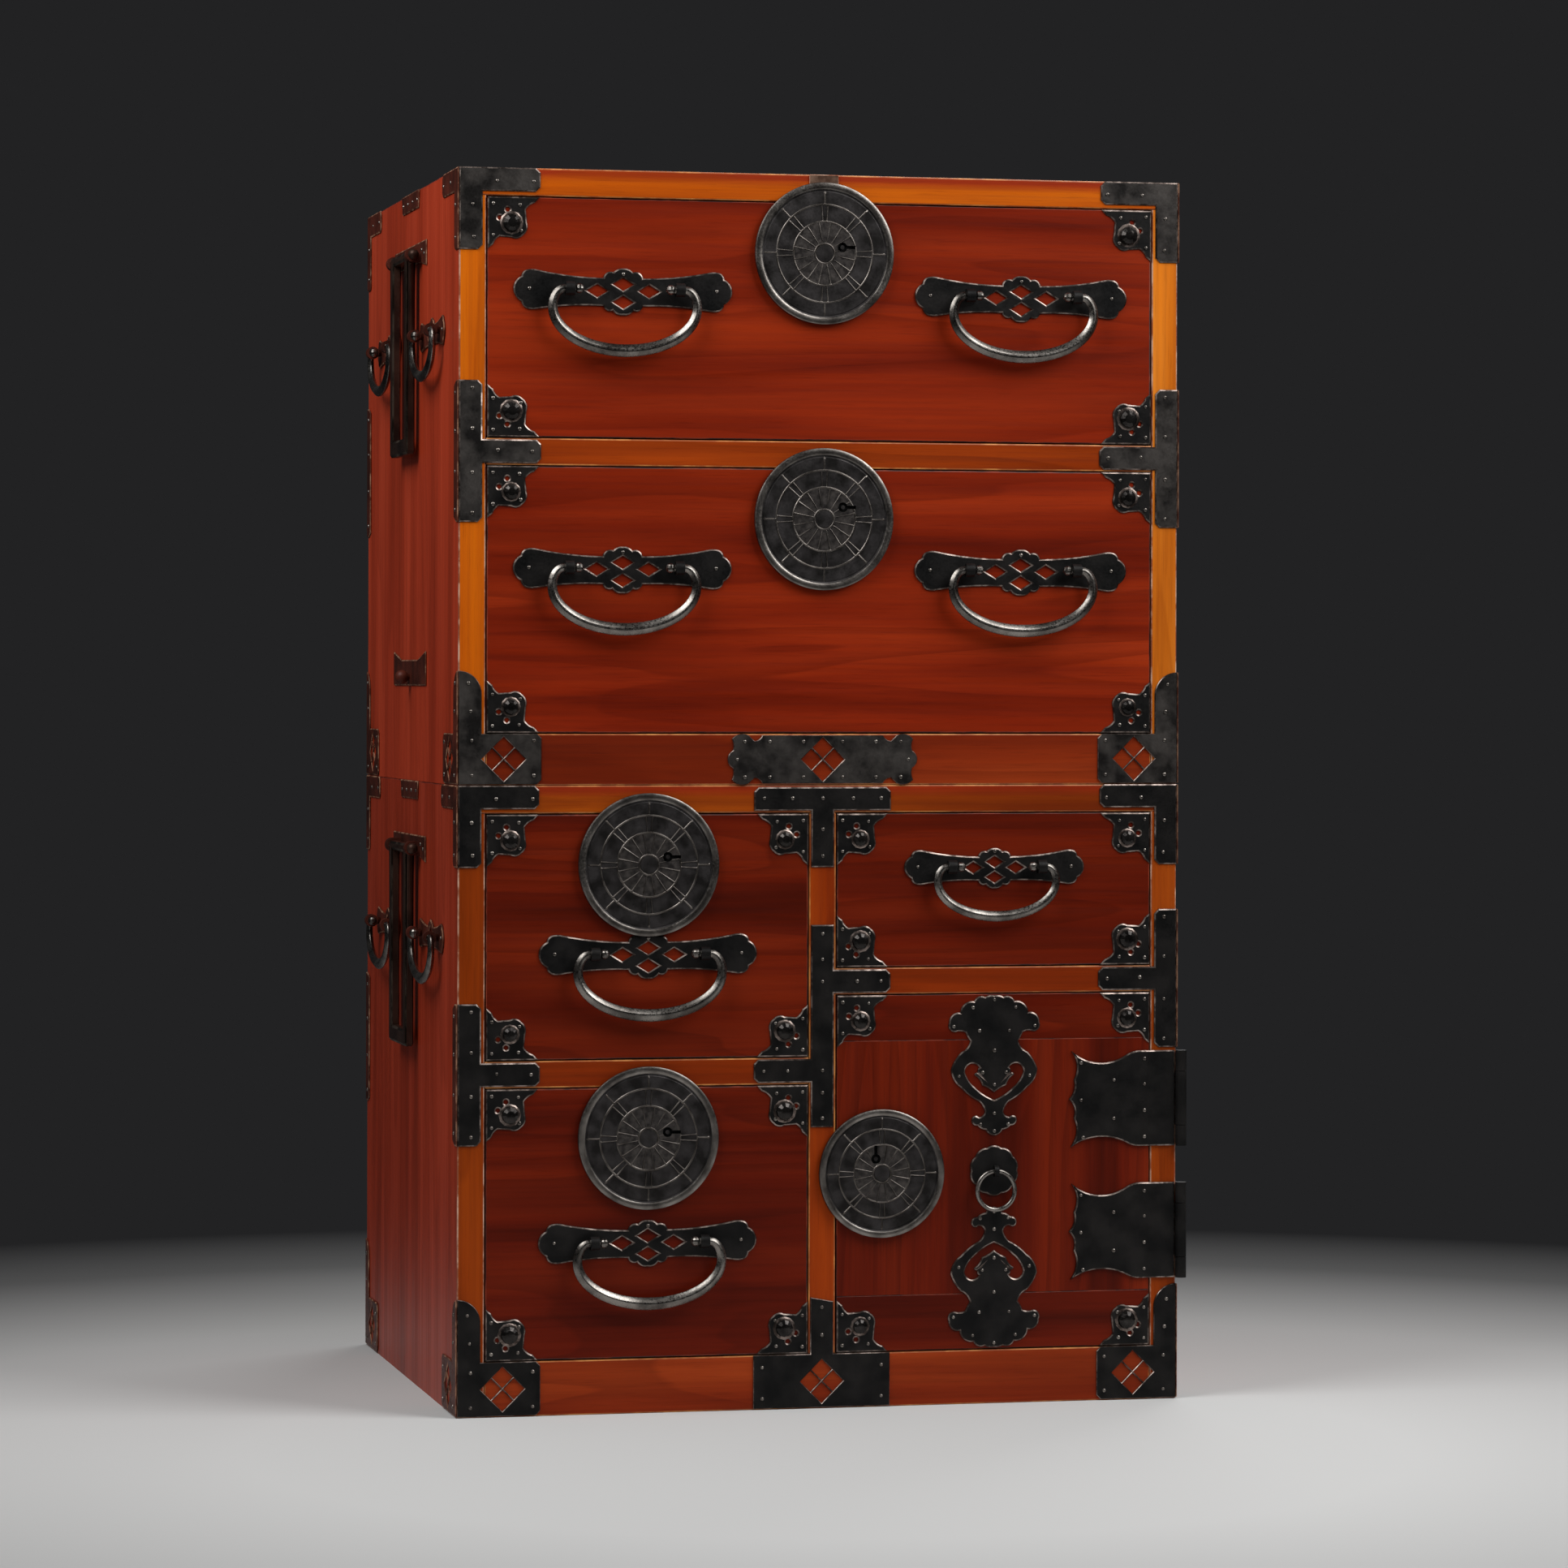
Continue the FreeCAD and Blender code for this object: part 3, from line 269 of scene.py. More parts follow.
def eased(node, finishes, edge_finish, width, steps=1, shape=None, inner_finish=None):
    """Dress a CAD node in a copy with eased corners. Each face takes the finish of the way it looks.
    A board with an inner finish is eased along its outer corners only, and wears it behind the front."""
    shape = shape or merged_copy(node, join_flats=True)
    low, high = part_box(node)
    weight = shape.edges.layers.float.new("bevel_weight_edge")
    for edge in shape.edges:
        sharp = edge.calc_face_angle(0) > sharp_angle
        edge[weight] = float(sharp and (inner_finish is None or outer_corner(edge, low, high)))
    materials = list(dict.fromkeys(finishes.values())) + [inner_finish or edge_finish, edge_finish]
    for face in shape.faces:
        look = max(outlooks, key=lambda way: outlooks[way].dot(face.normal))
        face.material_index = materials.index(finishes.get(look, finishes["rest"]))
    blank = in_scene(node + "_rough", mesh_of(shape, node + "_rough", *materials))
    ease = blank.modifiers.new("Eased corners", "BEVEL")
    ease.width = width
    ease.segments = steps
    ease.limit_method = "WEIGHT"
    ease.use_clamp_overlap = False
    ease.material = len(materials) - 1
    made = worked(blank)
    for vert in made.vertices:
        vert.co = [min(max(c, a), b) for c, a, b in zip(vert.co, low, high)]
    for face in made.polygons:
        if face.material_index == len(materials) - 1 and face.center.y > low.y + 2 * width:
            face.material_index -= 1
    finished(node + "_dressed", made, body_of[node], slot_of[node], node)


# Each finish is a gloss and a roughness: brushed lacquer, lacquer wiped thin, and wood off the plane
lacquered, wiped, planed = (0.1, 0.4), (0.1, 0.42), (0.2, 0.65)
# Red lacquer is thick enough to cloud the grain. The darker reds of the lower case are painted shade, where
# less light reaches towards the foot
side_reds_with_painted_shade = {"lower": ("#ae4028", "#9e351c", "#842a14"), "upper": ("#c64a2c", "#b43e22", "#963219")}
red_uprights = {}
for i, (case, tones) in enumerate(side_reds_with_painted_shade.items()):
    red_uprights[case] = grained_wood(case + "_red_lacquered_zelkova", tones, along_z, 3.1 + i, lacquered)
# Bare paulownia is pale and matt, with soft bands
bare = ("#c9a877", "#b99463", "#997648")
bare_upright = grained_wood("planed_paulownia_upright", bare, along_z, 7.7, planed)
# Corners of the case shine pale through the lacquer, and those that a joint shelters stay dull red
rubbed_side = rubbed("rubbed_case_corner", "#cfa58c", "#8f4a2c", 2.4, patch_size=22 * mm)
dull_corner = rubbed("lacquered_joint_corner", "#94331c", "#641c0d", 2.9, patch_size=18 * mm, rough=0.5)

# The front edges show as posts. Thin amber lacquer lets the grain through: the honey of the upper right post
# is partly wear from hands and partly painted highlight where the light falls most, and the brown of the
# lower case is partly a darker finish and partly painted shade of the light's fall-off
amber = ("#e6760b", "#cc5c05", "#a04003")
honey_with_painted_highlight = ("#fa9c38", "#ea821c", "#be5c0a")
brown_amber_with_painted_shade = ("#b65310", "#a04107", "#7a2c04")
post_tones = {"upper_left": amber, "upper_right": honey_with_painted_highlight,
              "lower_left": brown_amber_with_painted_shade, "lower_right": brown_amber_with_painted_shade}
for i, (board, tones) in enumerate(post_tones.items()):
    post_edge = grained_wood(board + "_post_zelkova", tones, along_z, 1.3 + i, wiped)
    case, hand = board.split("_")
    inside = "right" if hand == "left" else "left"
    looks = {"rest": red_uprights[case], "front": post_edge, inside: bare_upright, "under": bare_upright}
    eased(board + "_side", looks, rubbed_side, board_ease, steps=2, inner_finish=dull_corner)

# Top boards
# One wide board closes each case. It is notched for the fingers of the sides and lacquered red on top.
# The red runs down over its front edge, and the lower part of the edge is wiped amber.
coat_share = 0.68
# Red lacquer clouds the grain as on the sides, with bare wood underneath
top_red = ("#b8442a", "#a8381e", "#8c2c16")
red_top = grained_wood("red_lacquered_zelkova_top", top_red, along_x, 5.7, lacquered)
bare_flat = grained_wood("planed_paulownia_flat", bare, along_x, 9.1, planed)
# Rubbed corners glow orange between the lacquer
rubbed_wood = rubbed("rubbed_lacquer_corner", "#cc8440", "#9a4a16", 0.4, patch_size=30 * mm)
# The edge shows amber grain below and a blurred line where the red coat ends
top_coat = ("#b4401a", "#a43412", "#86280c")
top_edges = {"lower": (("#c2600f", "#a84a0a", "#823007"), 2.9), "upper": (amber, 4.6)}
for case, (tones, seed) in top_edges.items():
    low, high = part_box(case + "_top_board")
    top_edge = grained_wood(case + "_top_edge_zelkova", tones, along_x, seed, wiped,
                            top_coat, low.z + coat_share * (high.z - low.z))
    looks = {"rest": red_top, "front": top_edge, "under": bare_flat,
             "left": red_uprights[case], "right": red_uprights[case]}
    eased(case + "_top_board", looks, rubbed_wood, board_ease, steps=2, inner_finish=dull_corner)

# Skirts and floors
# Each case stands on a front and a back skirt with a floor board between them, nailed and glued to the
# sides. The skirts are browner than the rails above them.
skirt_brown = ("#ac4418", "#90300f", "#661c08")
# Wiped brown lacquer shows dark level grain
skirt_lacquer = grained_wood("brown_wiped_zelkova_skirt", skirt_brown, along_x, 4.3, wiped)
for case in ("lower", "upper"):
    looks = {"rest": skirt_lacquer, "top": bare_flat, "under": bare_flat}
    eased(case + "_base", looks, rubbed_wood, board_ease, steps=2)

# Back panels
# Thin upright softwood boards, edge to edge, let in between the sides and left bare.
# A planed chamfer along each board shows the joints.
back_board_count = 5
joint_gap, joint_chamfer = 0.6 * mm, 1.6 * mm
# Handling leaves the chamfers paler and dirtier in turn
rubbed_bare = rubbed("handled_paulownia_corner", "#d3b98d", "#8d7350", 1.9, patch_size=22 * mm, rough=0.65)


def block(shape, low, high):
    """Add a closed block between two corners."""
    for vert in bmesh.ops.create_cube(shape, size=1)["verts"]:
        vert.co = Vector([a + (b - a) * (c + 0.5) for a, b, c in zip(low, high, vert.co)])


for case in ("lower", "upper"):
    low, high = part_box(case + "_back_panel")
    board_width = (high.x - low.x) / back_board_count
    boards = bmesh.new()
    for i in range(back_board_count):
        left = low.x + i * board_width + joint_gap / 2
        block(boards, (left, low.y, low.z), (left + board_width - joint_gap, high.y, high.z))
    eased(case + "_back_panel", {"rest": bare_upright}, rubbed_bare, joint_chamfer, shape=boards)

# Rails and middle post
# Rails part the drawers, with thin dust boards behind them, and an upright partition parts the lower case.
# Their front edges are wiped a redder amber and rubbed pale where the drawers pass.
red_amber = ("#b0460b", "#943407", "#6e2204")
# Red amber glows between dark grain lines, and the dust boards are bare
amber_rail = grained_wood("red_amber_zelkova_rail", red_amber, along_x, 2.9, wiped)
amber_post = grained_wood("red_amber_zelkova_post", red_amber, along_z, 5.2, wiped)
bare_deep = grained_wood("planed_paulownia_deep", bare, along_y, 6.1, planed)
for node in ("upper_divider", "lower_dividers"):
    eased(node, {"rest": bare_deep, "front": amber_rail}, rubbed_wood, board_ease, steps=2)
eased("lower_partition", {"rest": bare_upright, "front": amber_post}, rubbed_wood, board_ease, steps=2)

# Case irons
# Forged sheet, blackened and nailed over every joint of the cases: angles, tees, feet with four pierced
# diamonds, wear plates, loop mounts and the catch. Their cut edges are rubbed bright.
rub_width, fine_rub_width, rub_drop = 1.2 * mm, 0.6 * mm, 0.7 * mm
many_outlines = 5
least_flat = 150 * mm * mm
flat_facing = 0.9999


def forged_iron(name, dark, pale, seed, rough, metal=1.0, cloud_size=12 * mm, dent_depth=0.2 * mm):
    """Hammered iron: clouds of scale over a dark skin, with shallow dents and a fine grit in its gloss."""
    dent_size, grit_size = 7 * mm, 1.6 * mm
    rough_spread = 0.1
    material, tree, place = new_material(name)
    noise = {}
    for figure, size, detail in (("clouds", cloud_size, 5), ("grit", grit_size, 2), ("dents", dent_size, 1)):
        spot = add_node(tree, "ShaderNodeMapping",
                        {"Vector": place, "Location": (seed, seed, seed), "Scale": (1 / size,) * 3})
        noise[figure] = add_node(tree, "ShaderNodeTexNoise", {"Vector": spot, "Scale": 1, "Detail": detail})
    colour = add_node(tree, "ShaderNodeValToRGB", {"Fac": noise["clouds"]},
                      ((0.36, linear(dark)), (0.66, linear(pale))))
    roughness = add_node(tree, "ShaderNodeMapRange",
                         {"Value": noise["grit"], "From Min": 0.3, "From Max": 0.7,
                          "To Min": rough - rough_spread, "To Max": rough + rough_spread})
    bump = add_node(tree, "ShaderNodeBump",
                    {"Height": noise["dents"], "Strength": 0.5, "Distance": dent_depth})
    shader = add_node(tree, "ShaderNodeBsdfPrincipled",
                      {"Base Color": colour, "Roughness": roughness, "Normal": bump, "Metallic": metal,
                       "Specular IOR Level": 0.2})
    add_node(tree, "ShaderNodeOutputMaterial", {"Surface": shader})
    return material


def clusters(things, near):
    """Lists of things that hang together. The function near lists a thing's neighbours."""
    waiting = dict.fromkeys(things)
    while waiting:
        reach = [waiting.popitem()[0]]
        cluster = []
        while reach:
            cluster.append(reach.pop())
            for other in near(cluster[-1]):
                if other in waiting:
                    del waiting[other]
                    reach.append(other)
        yield cluster


def islands(shape):
    """Lists of joined points, one for each solid of a shape."""
    return clusters(shape.verts, lambda vert: [edge.other_vert(vert) for edge in vert.link_edges])


def flat_regions(shape, way):
    """Lists of joined faces that look exactly one way, without the small ones."""
    facing = [face for face in shape.faces if face.normal.dot(way) > flat_facing]
    regions = clusters(facing, lambda face: [other for edge in face.edges for other in edge.link_faces])
    return [region for region in regions if sum(face.calc_area() for face in region) > least_flat]


def outline_count(region):
    """Number of closed outlines round a list of joined faces."""
    inside = set(region)
    rims = {edge for face in region for edge in face.edges if len(inside.intersection(edge.link_faces)) == 1}
    outlines = clusters(rims, lambda edge: [other for vert in edge.verts for other in vert.link_edges])
    return len(list(outlines))


def rubbed_sheet(node, looks, irons, shape=None, width=rub_width, drop=rub_drop, fine_width=rub_width):
    """Dress an iron in a copy with the outline of each flat face rubbed down to a bright border, finer where
    it is much pierced. The irons are its skin, its border and any others that its faces name."""
    shape = shape or merged_copy(node)
    for look in looks:
        way = outlooks[look]
        for region in flat_regions(shape, way):
            reach_in = fine_width if outline_count(region) >= many_outlines else width
            border = bmesh.ops.inset_region(shape, faces=region, use_boundary=True, use_even_offset=True,
                                            thickness=reach_in)["faces"]
            inside = {vert for face in region for vert in face.verts}
            lowered = {vert for face in border for vert in face.verts} - inside
            bmesh.ops.translate(shape, verts=list(lowered), vec=-drop * way)
            for face in border:
                face.material_index = 1
    bmesh.ops.recalc_face_normals(shape, faces=shape.faces)
    mesh = mesh_of(shape, node + "_rubbed", *irons)
    finished(node + "_rubbed", mesh, body_of[node], slot_of[node], node)


def new_tree(name, inputs):
    """Geometry node tree with named inputs. Gives the tree and its input node."""
    tree = bpy.data.node_groups.new(name, "GeometryNodeTree")
    tree.interface.new_socket("Geometry", in_out="INPUT", socket_type="NodeSocketGeometry")
    for label, kind in inputs.items():
        tree.interface.new_socket(label, in_out="INPUT", socket_type=kind)
    tree.interface.new_socket("Geometry", in_out="OUTPUT", socket_type="NodeSocketGeometry")
    return tree, add_node(tree, "NodeGroupInput")


def ended(tree, given, made):
    """The same tree, ended with its instances made real and painted with the iron that it is given."""
    real = add_node(tree, "GeometryNodeRealizeInstances", {"Geometry": made})
    painted = add_node(tree, "GeometryNodeSetMaterial",
                       {"Geometry": real, "Material": given.outputs["Iron"]})
    add_node(tree, "NodeGroupOutput", {"Geometry": painted})
    return tree


def grown(tree, carrier, values):
    """Plain mesh that a node tree makes on a carrier mesh, with its named inputs set first."""
    holder = in_scene(carrier.name, carrier)
    modifier = holder.modifiers.new(tree.name, "NODES")
    modifier.node_group = tree
    for item in tree.interface.items_tree:
        if item.in_out == "INPUT" and item.name in values:
            modifier[item.identifier] = values[item.name]
    return worked(holder)


def driven_nails_tree():
    """Flattened round heads, each turned to the way its point faces and sunk halfway into the sheet."""
    tree, given = new_tree("driven_nails", {
        "Head radius": "NodeSocketFloat", "Head rise": "NodeSocketFloat", "Size spread": "NodeSocketFloat",
        "Seed": "NodeSocketInt", "Iron": "NodeSocketMaterial"})
    head = add_node(tree, "GeometryNodeMeshUVSphere", {"Segments": 12, "Rings": 6, "Radius": 1})
    facing = add_node(tree, "GeometryNodeInputNamedAttribute", {"Name": "facing"}, data_type="FLOAT_VECTOR")
    turn = add_node(tree, "FunctionNodeAlignRotationToVector", {"Vector": facing}, axis="Z")
    least = add_node(tree, "ShaderNodeMath", {"Value": 1}, operation="SUBTRACT")
    tree.links.new(given.outputs["Size spread"], least.inputs[1])
    size = add_node(tree, "FunctionNodeRandomValue",
                    {"Min": least, "Max": 1, "Seed": given.outputs["Seed"]}, data_type="FLOAT")
    form = add_node(tree, "ShaderNodeCombineXYZ",
                    {"X": given.outputs["Head radius"], "Y": given.outputs["Head radius"],
                     "Z": given.outputs["Head rise"]})
    scale = add_node(tree, "ShaderNodeVectorMath", {"Vector": form, "Scale": size}, operation="SCALE")
    heads = add_node(tree, "GeometryNodeInstanceOnPoints",
                     {"Points": given.outputs["Geometry"], "Instance": head,
                      "Rotation": turn, "Scale": scale})
    return ended(tree, given, heads)


def drive(name, body, places, radius, rise, seed, iron):
    """One mesh of nail heads for a body. Each place is a point on the sheet and the way it faces."""
    carrier = bpy.data.meshes.new(name)
    carrier.from_pydata([point for point, facing in places], [], [])
    facings = carrier.attributes.new("facing", "FLOAT_VECTOR", "POINT")
    facings.data.foreach_set("vector", [value for point, facing in places for value in facing])
    made = grown(nail_tree, carrier, {"Head radius": radius, "Head rise": rise, "Size spread": nail_spread,
                                      "Seed": seed, "Iron": iron})
    finished(name, made, body, "worn_iron")


# Scale clouds the black sheet and only its dents catch the light. On the upper case it is a paler grey, a
# painted sheen where more light falls
black_iron = forged_iron("blackened_forged_sheet", "#0f0f0f", "#232120", 2.2, rough=0.48, metal=0.35,
                         cloud_size=26 * mm, dent_depth=0.5 * mm)
black_iron_with_painted_sheen = forged_iron("painted_sheen_black_sheet", "#201e1d", "#4c4845", 2.9, rough=0.42, metal=0.45,
                              cloud_size=20 * mm, dent_depth=0.5 * mm)
frame_iron = {"lower": black_iron, "upper": black_iron_with_painted_sheen}
# The sides' irons were lacquered over with the wood and look a dull red brown
side_iron = forged_iron("red_brown_lacquered_sheet", "#35170f", "#58261a", 2.7, rough=0.5, metal=0.1,
                        cloud_size=30 * mm, dent_depth=0.5 * mm)
# Cut edges glint grey on the front, and coppery where lacquer still clings on the sides
bright_edge = rubbed("rubbed_sheet_edge", "#9c8d85", "#423a36", 3.3,
                     patch_size=12 * mm, rough=0.4, metal=1.0)
side_edge = rubbed("rubbed_lacquered_sheet_edge", "#b2866a", "#5e3020", 3.9, patch_size=12 * mm, metal=0.3)
# Nail heads are burnished to small pale glints
nail_iron = forged_iron("burnished_nail_head", "#605a55", "#948d86", 4.1, rough=0.36,
                        cloud_size=9 * mm, dent_depth=0.1 * mm)
nail_tree = driven_nails_tree()
nail_radius, nail_rise, nail_spread = 1.9 * mm, 1.2 * mm, 0.25
sheet, handle_sheet, hinge_sheet = 1.5 * mm, 2.0 * mm, 2.5 * mm
case_low, case_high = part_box("lower_left_side")[0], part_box("upper_right_side")[1]
front, back = case_low.y, case_high.y
mid_depth = (front + back) / 2
middle_x = (case_low.x + case_high.x) / 2

# Nails in mm: across from the side of the case, and up from the corner, rail or floor that the iron laps
angle_nails = ((34, -12), (67, -12), (12, -33), (13, -62))
tee_nails = ((12, 56), (12, 20), (35, 1), (66, 0), (12, -19), (12, -55))
foot_nails = ((9, 91), (11, 66), (12, 40), (12, 9), (68, 9), (68, 40))
long_plate_nails = ((79, 0), (-79, 0), *((x, z) for x in (-72, -49, -18, 18, 49, 72) for z in (-16, 16)))
top_tee_nails = ((-54, -12), (-28, -12), (0, -12), (28, -12), (54, -12), (0, -40), (0, -64))
post_arm_nails = ((0, 0), (32, 0), (54, 0))
post_end_nails = (20, 43)
foot_tee_nails = ((-55, 10), (55, 10), (-55, 38), (55, 38), (0, 66), (0, 91))
side_angle_nails = ((12, -33), (12, -62), (38, -11), (78, -11))
side_strip_nails = ((11, 52), (11, 18), (11, -18), (11, -52))
side_foot_nails = ((9, 91), (11, 66), (12, 9), (68, 9), (68, 38))
wear_nails = ((-42, -9), (-14, -9), (14, -9), (42, -9))
mount_nails = ((-84, 0), (-70, 4), (70, 4), (84, 0))
side_plate_nails = ((-62, 0), (62, 0))


def rail_between(above, below):
    """Middle level of the rail between two fronts."""
    return (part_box(above)[0].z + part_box(below)[1].z) / 2


def on_front(nails, x, z, hand=1, thick=sheet):
    """Nails on the front of the chest, set out from a point in mm."""
    facing = outlooks["front"]
    return [(Vector((x + hand * across * mm, front - thick, z + up * mm)), facing) for across, up in nails]


def on_side(nails, hand, y, z, way, thick=sheet):
    """Nails on a side of the chest, set out in mm along its depth."""
    x = middle_x + hand * ((case_high.x - case_low.x) / 2 + thick)
    return [(Vector((x, y + way * along * mm, z + up * mm)), Vector((hand, 0, 0))) for along, up in nails]


def pivot(joint):
    """Rest place of a hinge."""
    return Vector(next(row["pos_m"] for row in record["behaviour"]["joints"] if row["name"] == joint))


upper_rail = rail_between("upper_top_drawer_front", "upper_low_drawer_front")
rail_levels = {
    "upper": {-1: upper_rail, 1: upper_rail},
    "lower": {-1: rail_between("left_top_drawer_front", "left_low_drawer_front"),
              1: rail_between("right_small_drawer_front", "door_clamps")},
}
for seed, case in enumerate(("lower", "upper")):
    foot, crown = [corner.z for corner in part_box(case + "_left_side")]
    rails = rail_levels[case]
    nails = []
    for hand, side, edge in ((-1, "left", case_low.x), (1, "right", case_high.x)):
        nails += on_front(angle_nails, edge, crown, -hand)
        nails += on_front(tee_nails, edge, rails[hand], -hand)
        nails += on_front(foot_nails, edge, foot, -hand)
        for y, way in ((front, 1), (back, -1)):
            nails += on_side(side_angle_nails, hand, y, crown, way)
            nails += on_side(side_strip_nails, hand, y, rails[hand], way)
            nails += on_side(side_foot_nails, hand, y, foot, way)
        nails += on_side(wear_nails, hand, mid_depth, crown, 1)
        nails += on_side(mount_nails, hand, mid_depth, pivot(case + "_" + side + "_loop_swing").z, 1)
        for end in ("front", "back"):
            place = pivot(case + "_" + side + "_" + end + "_bail_swing")
            nails += on_side(side_plate_nails, hand, place.y, place.z, 1, handle_sheet)
    if case == "upper":
        nails += on_front(long_plate_nails, middle_x, (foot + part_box("upper_base")[1].z) / 2)
    else:
        nails += on_front(top_tee_nails, middle_x, crown)
        nails += on_front(foot_tee_nails, middle_x, foot)
        for hand in (1, -1):
            nails += on_front(post_arm_nails, middle_x, rails[hand], hand)
            nails += on_front([(0, hand * up) for up in post_end_nails], middle_x, rails[hand])
    rubbed_sheet(case + "_frame_irons", ("front",), (frame_iron[case], bright_edge),
                 fine_width=fine_rub_width)
    irons = merged_copy(case + "_side_irons")
    for island in islands(irons):
        # Hinge leaves stand out in front of the case and stay black
        if min(vert.co.y for vert in island) < front - 2 * sheet:
            for face in {face for vert in island for face in vert.link_faces}:
                face.material_index = 2
    rubbed_sheet(case + "_side_irons", ("left", "right", "top"), (side_iron, side_edge, black_iron), irons)
    drive(case + "_case_nails", case + "_case", nails, nail_radius, nail_rise, seed, nail_iron)

# Carrying loops
# A long closed loop of flat bar hangs from two eyes on each side. Two people carry a case on a pole
# through its loops, so the bar is polished along its corners.
loop_rub_width, loop_rub_drop = 2.2 * mm, 1.3 * mm
# Warm dark iron in large clouds, with corners that handling keeps bright
loop_iron = forged_iron("handled_forged_bar", "#271b17", "#4a352c", 4.4, rough=0.42, metal=0.6,
                        cloud_size=40 * mm, dent_depth=0.6 * mm)
loop_edge = rubbed("handled_bar_edge", "#a08c7c", "#43372f", 5.1, patch_size=25 * mm, rough=0.4, metal=1.0)
for case in ("lower", "upper"):
    for hand in ("left", "right"):
        rubbed_sheet(case + "_" + hand + "_loop", ("left", "right"), (loop_iron, loop_edge),
                     width=loop_rub_width, drop=loop_rub_drop)

# Drawer fronts
# Thick boards of figured wood with level grain under dark red-brown wiped lacquer.
# They close flush with the rails, and their corners are rubbed by use.
front_ease = 1.0 * mm
# Wiped lacquer sinks into the grain, so the fronts glow red with dark streaks, deeper on the lower case
red_brown = ("#a93611", "#8c260a", "#641605")
deep_red_brown = ("#882b0e", "#6e1c07", "#4c1104")
# Their corners are worn only to a warmer brown
dark_edge = rubbed("dark_wiped_corner", "#8a3212", "#3c1006", 1.2, patch_size=30 * mm, rough=0.5)
drawer_seeds = {"upper_top_drawer": 0.9, "upper_low_drawer": 3.7, "left_top_drawer": 6.2,
                "left_low_drawer": 8.8, "right_small_drawer": 11.4}
for drawer, seed in drawer_seeds.items():
    tones = red_brown if drawer.startswith("upper") else deep_red_brown
    front_lacquer = grained_wood("red_brown_wiped_zelkova_" + drawer, tones, along_x, seed, lacquered)
    eased(drawer + "_front", {"rest": front_lacquer, "back": bare_flat}, dark_edge, front_ease, steps=2)

# Drawer boxes
# Thin bare softwood sides, back and floor behind each front, planed smooth and pegged at the corners.
# The boxes run on the dust boards and on the floors of the cases.
box_ease = 0.8 * mm
for drawer in drawer_seeds:
    eased(drawer + "_box", {"rest": bare_deep}, rubbed_bare, box_ease)

# Drawer irons and lock plates
# Each front has four pierced corner irons, scalloped handle plates with forged eyes, and on all but the
# small one a heavy round lock plate, turned with a rim and rings and chased with spokes.
rim_share, groove_share, lip_share = 0.9, 0.865, 0.845
ring_shares, ring_half_share = (0.69, 0.45, 0.14), 0.015
hub_share, hub_round_share, fan_share = 0.12, 0.18, 0.192
foot_share = 0.67
spoke_count, fan_count = 8, 16
spoke_half, fan_half = math.radians(1.0), math.radians(1.6)
pair_turn, widest_step = math.radians(3.8), math.radians(4)
plate_foot, plate_field = 2.0 * mm, 4.5 * mm
rim_rise, groove_sink, line_rise, hub_rise = 1.2 * mm, 0.6 * mm, 0.6 * mm, 0.7 * mm
# Four corners of a patch add up to more than this on a chased line
least_risen = 1.2
# The lock plate's field is dark grey, its lines and rim are burnished paler, and its middle is stippled
iron_field = forged_iron("turned_lock_plate", "#242221", "#434040", 5.5, rough=0.5, metal=0.7,
                         cloud_size=14 * mm, dent_depth=0.4 * mm)
iron_line = forged_iron("burnished_lock_line", "#4c4743", "#76706b", 6.6, rough=0.4)
iron_rim = forged_iron("polished_lock_rim", "#5c5753", "#918b85", 6.9, rough=0.38, cloud_size=18 * mm)
iron_heart = forged_iron("stippled_lock_middle", "#33302f", "#57524f", 7.2, rough=0.45, metal=0.7,
                         cloud_size=6 * mm, dent_depth=0.5 * mm)
lock_irons = (iron_field, iron_line, iron_heart, iron_rim)
# The keyhole's shallow recess is painted near black, a painted shade that stands for a deep hole, and gives
# no gloss. The bosses on the corner irons shine like black glass
keyhole_painted_shade = forged_iron("keyhole_recess", "#060606", "#0b0a0a", 7.5, rough=0.9, metal=0.0,
                           cloud_size=5 * mm, dent_depth=0.1 * mm)
boss_iron = forged_iron("glossy_black_boss", "#22201f", "#3c3937", 8.8, rough=0.2, metal=0.8,
                        dent_depth=0.1 * mm)


def split_round_plate(shape):
    """Take the round lock plate out of a set of irons. Gives its middle on the board and its radius."""
    roundest, least_width = 1 * mm, 100 * mm
    for island in islands(shape):
        low = Vector([min(vert.co[i] for vert in island) for i in range(3)])
        high = Vector([max(vert.co[i] for vert in island) for i in range(3)])
        width, height = high.x - low.x, high.z - low.z
        if width > least_width and abs(width - height) < roundest:
            bmesh.ops.delete(shape, geom=island, context="VERTS")
            return Vector(((low.x + high.x) / 2, high.y, (low.z + high.z) / 2)), width / 2
    return None


def ridge(distance, half):
    """Rounded ridge of height one."""
    return max(0.0, 1 - (distance / half) ** 2)


def from_spoke(turn, count, offset):
    """Turn between an angle and the nearest of a ring of even spokes."""
    pitch = math.tau / count
    away = (turn - offset) % pitch
    return min(away, pitch - away)


def chased(share, turn):
    """How far the chased lines stand up at a place on the lock plate, from zero to one."""
    up = max(ridge(share - ring, ring_half_share) for ring in ring_shares)
    if ring_shares[0] <= share <= groove_share:
        up = max(up, ridge(from_spoke(turn, spoke_count, 0), spoke_half))
    elif ring_shares[1] <= share <= ring_shares[0]:
        for side in (-pair_turn, pair_turn):
            up = max(up, ridge(from_spoke(turn, spoke_count, side), spoke_half))
    elif fan_share <= share <= ring_shares[1]:
        up = max(up, ridge(from_spoke(turn, fan_count, math.pi / fan_count), fan_half))
    return up


def lock_rise(share, turn):
    """Height of the lock plate over its field."""
    if share >= rim_share:
        half = (1 - rim_share) / 2
        return rim_rise * math.sqrt(ridge(share - rim_share - half, half))
    if share >= groove_share:
        return -groove_sink * ridge(share - (rim_share + groove_share) / 2, (rim_share - groove_share) / 2)
    if share <= hub_share:
        return hub_rise * ridge(share, hub_round_share)
    return line_rise * chased(share, turn)


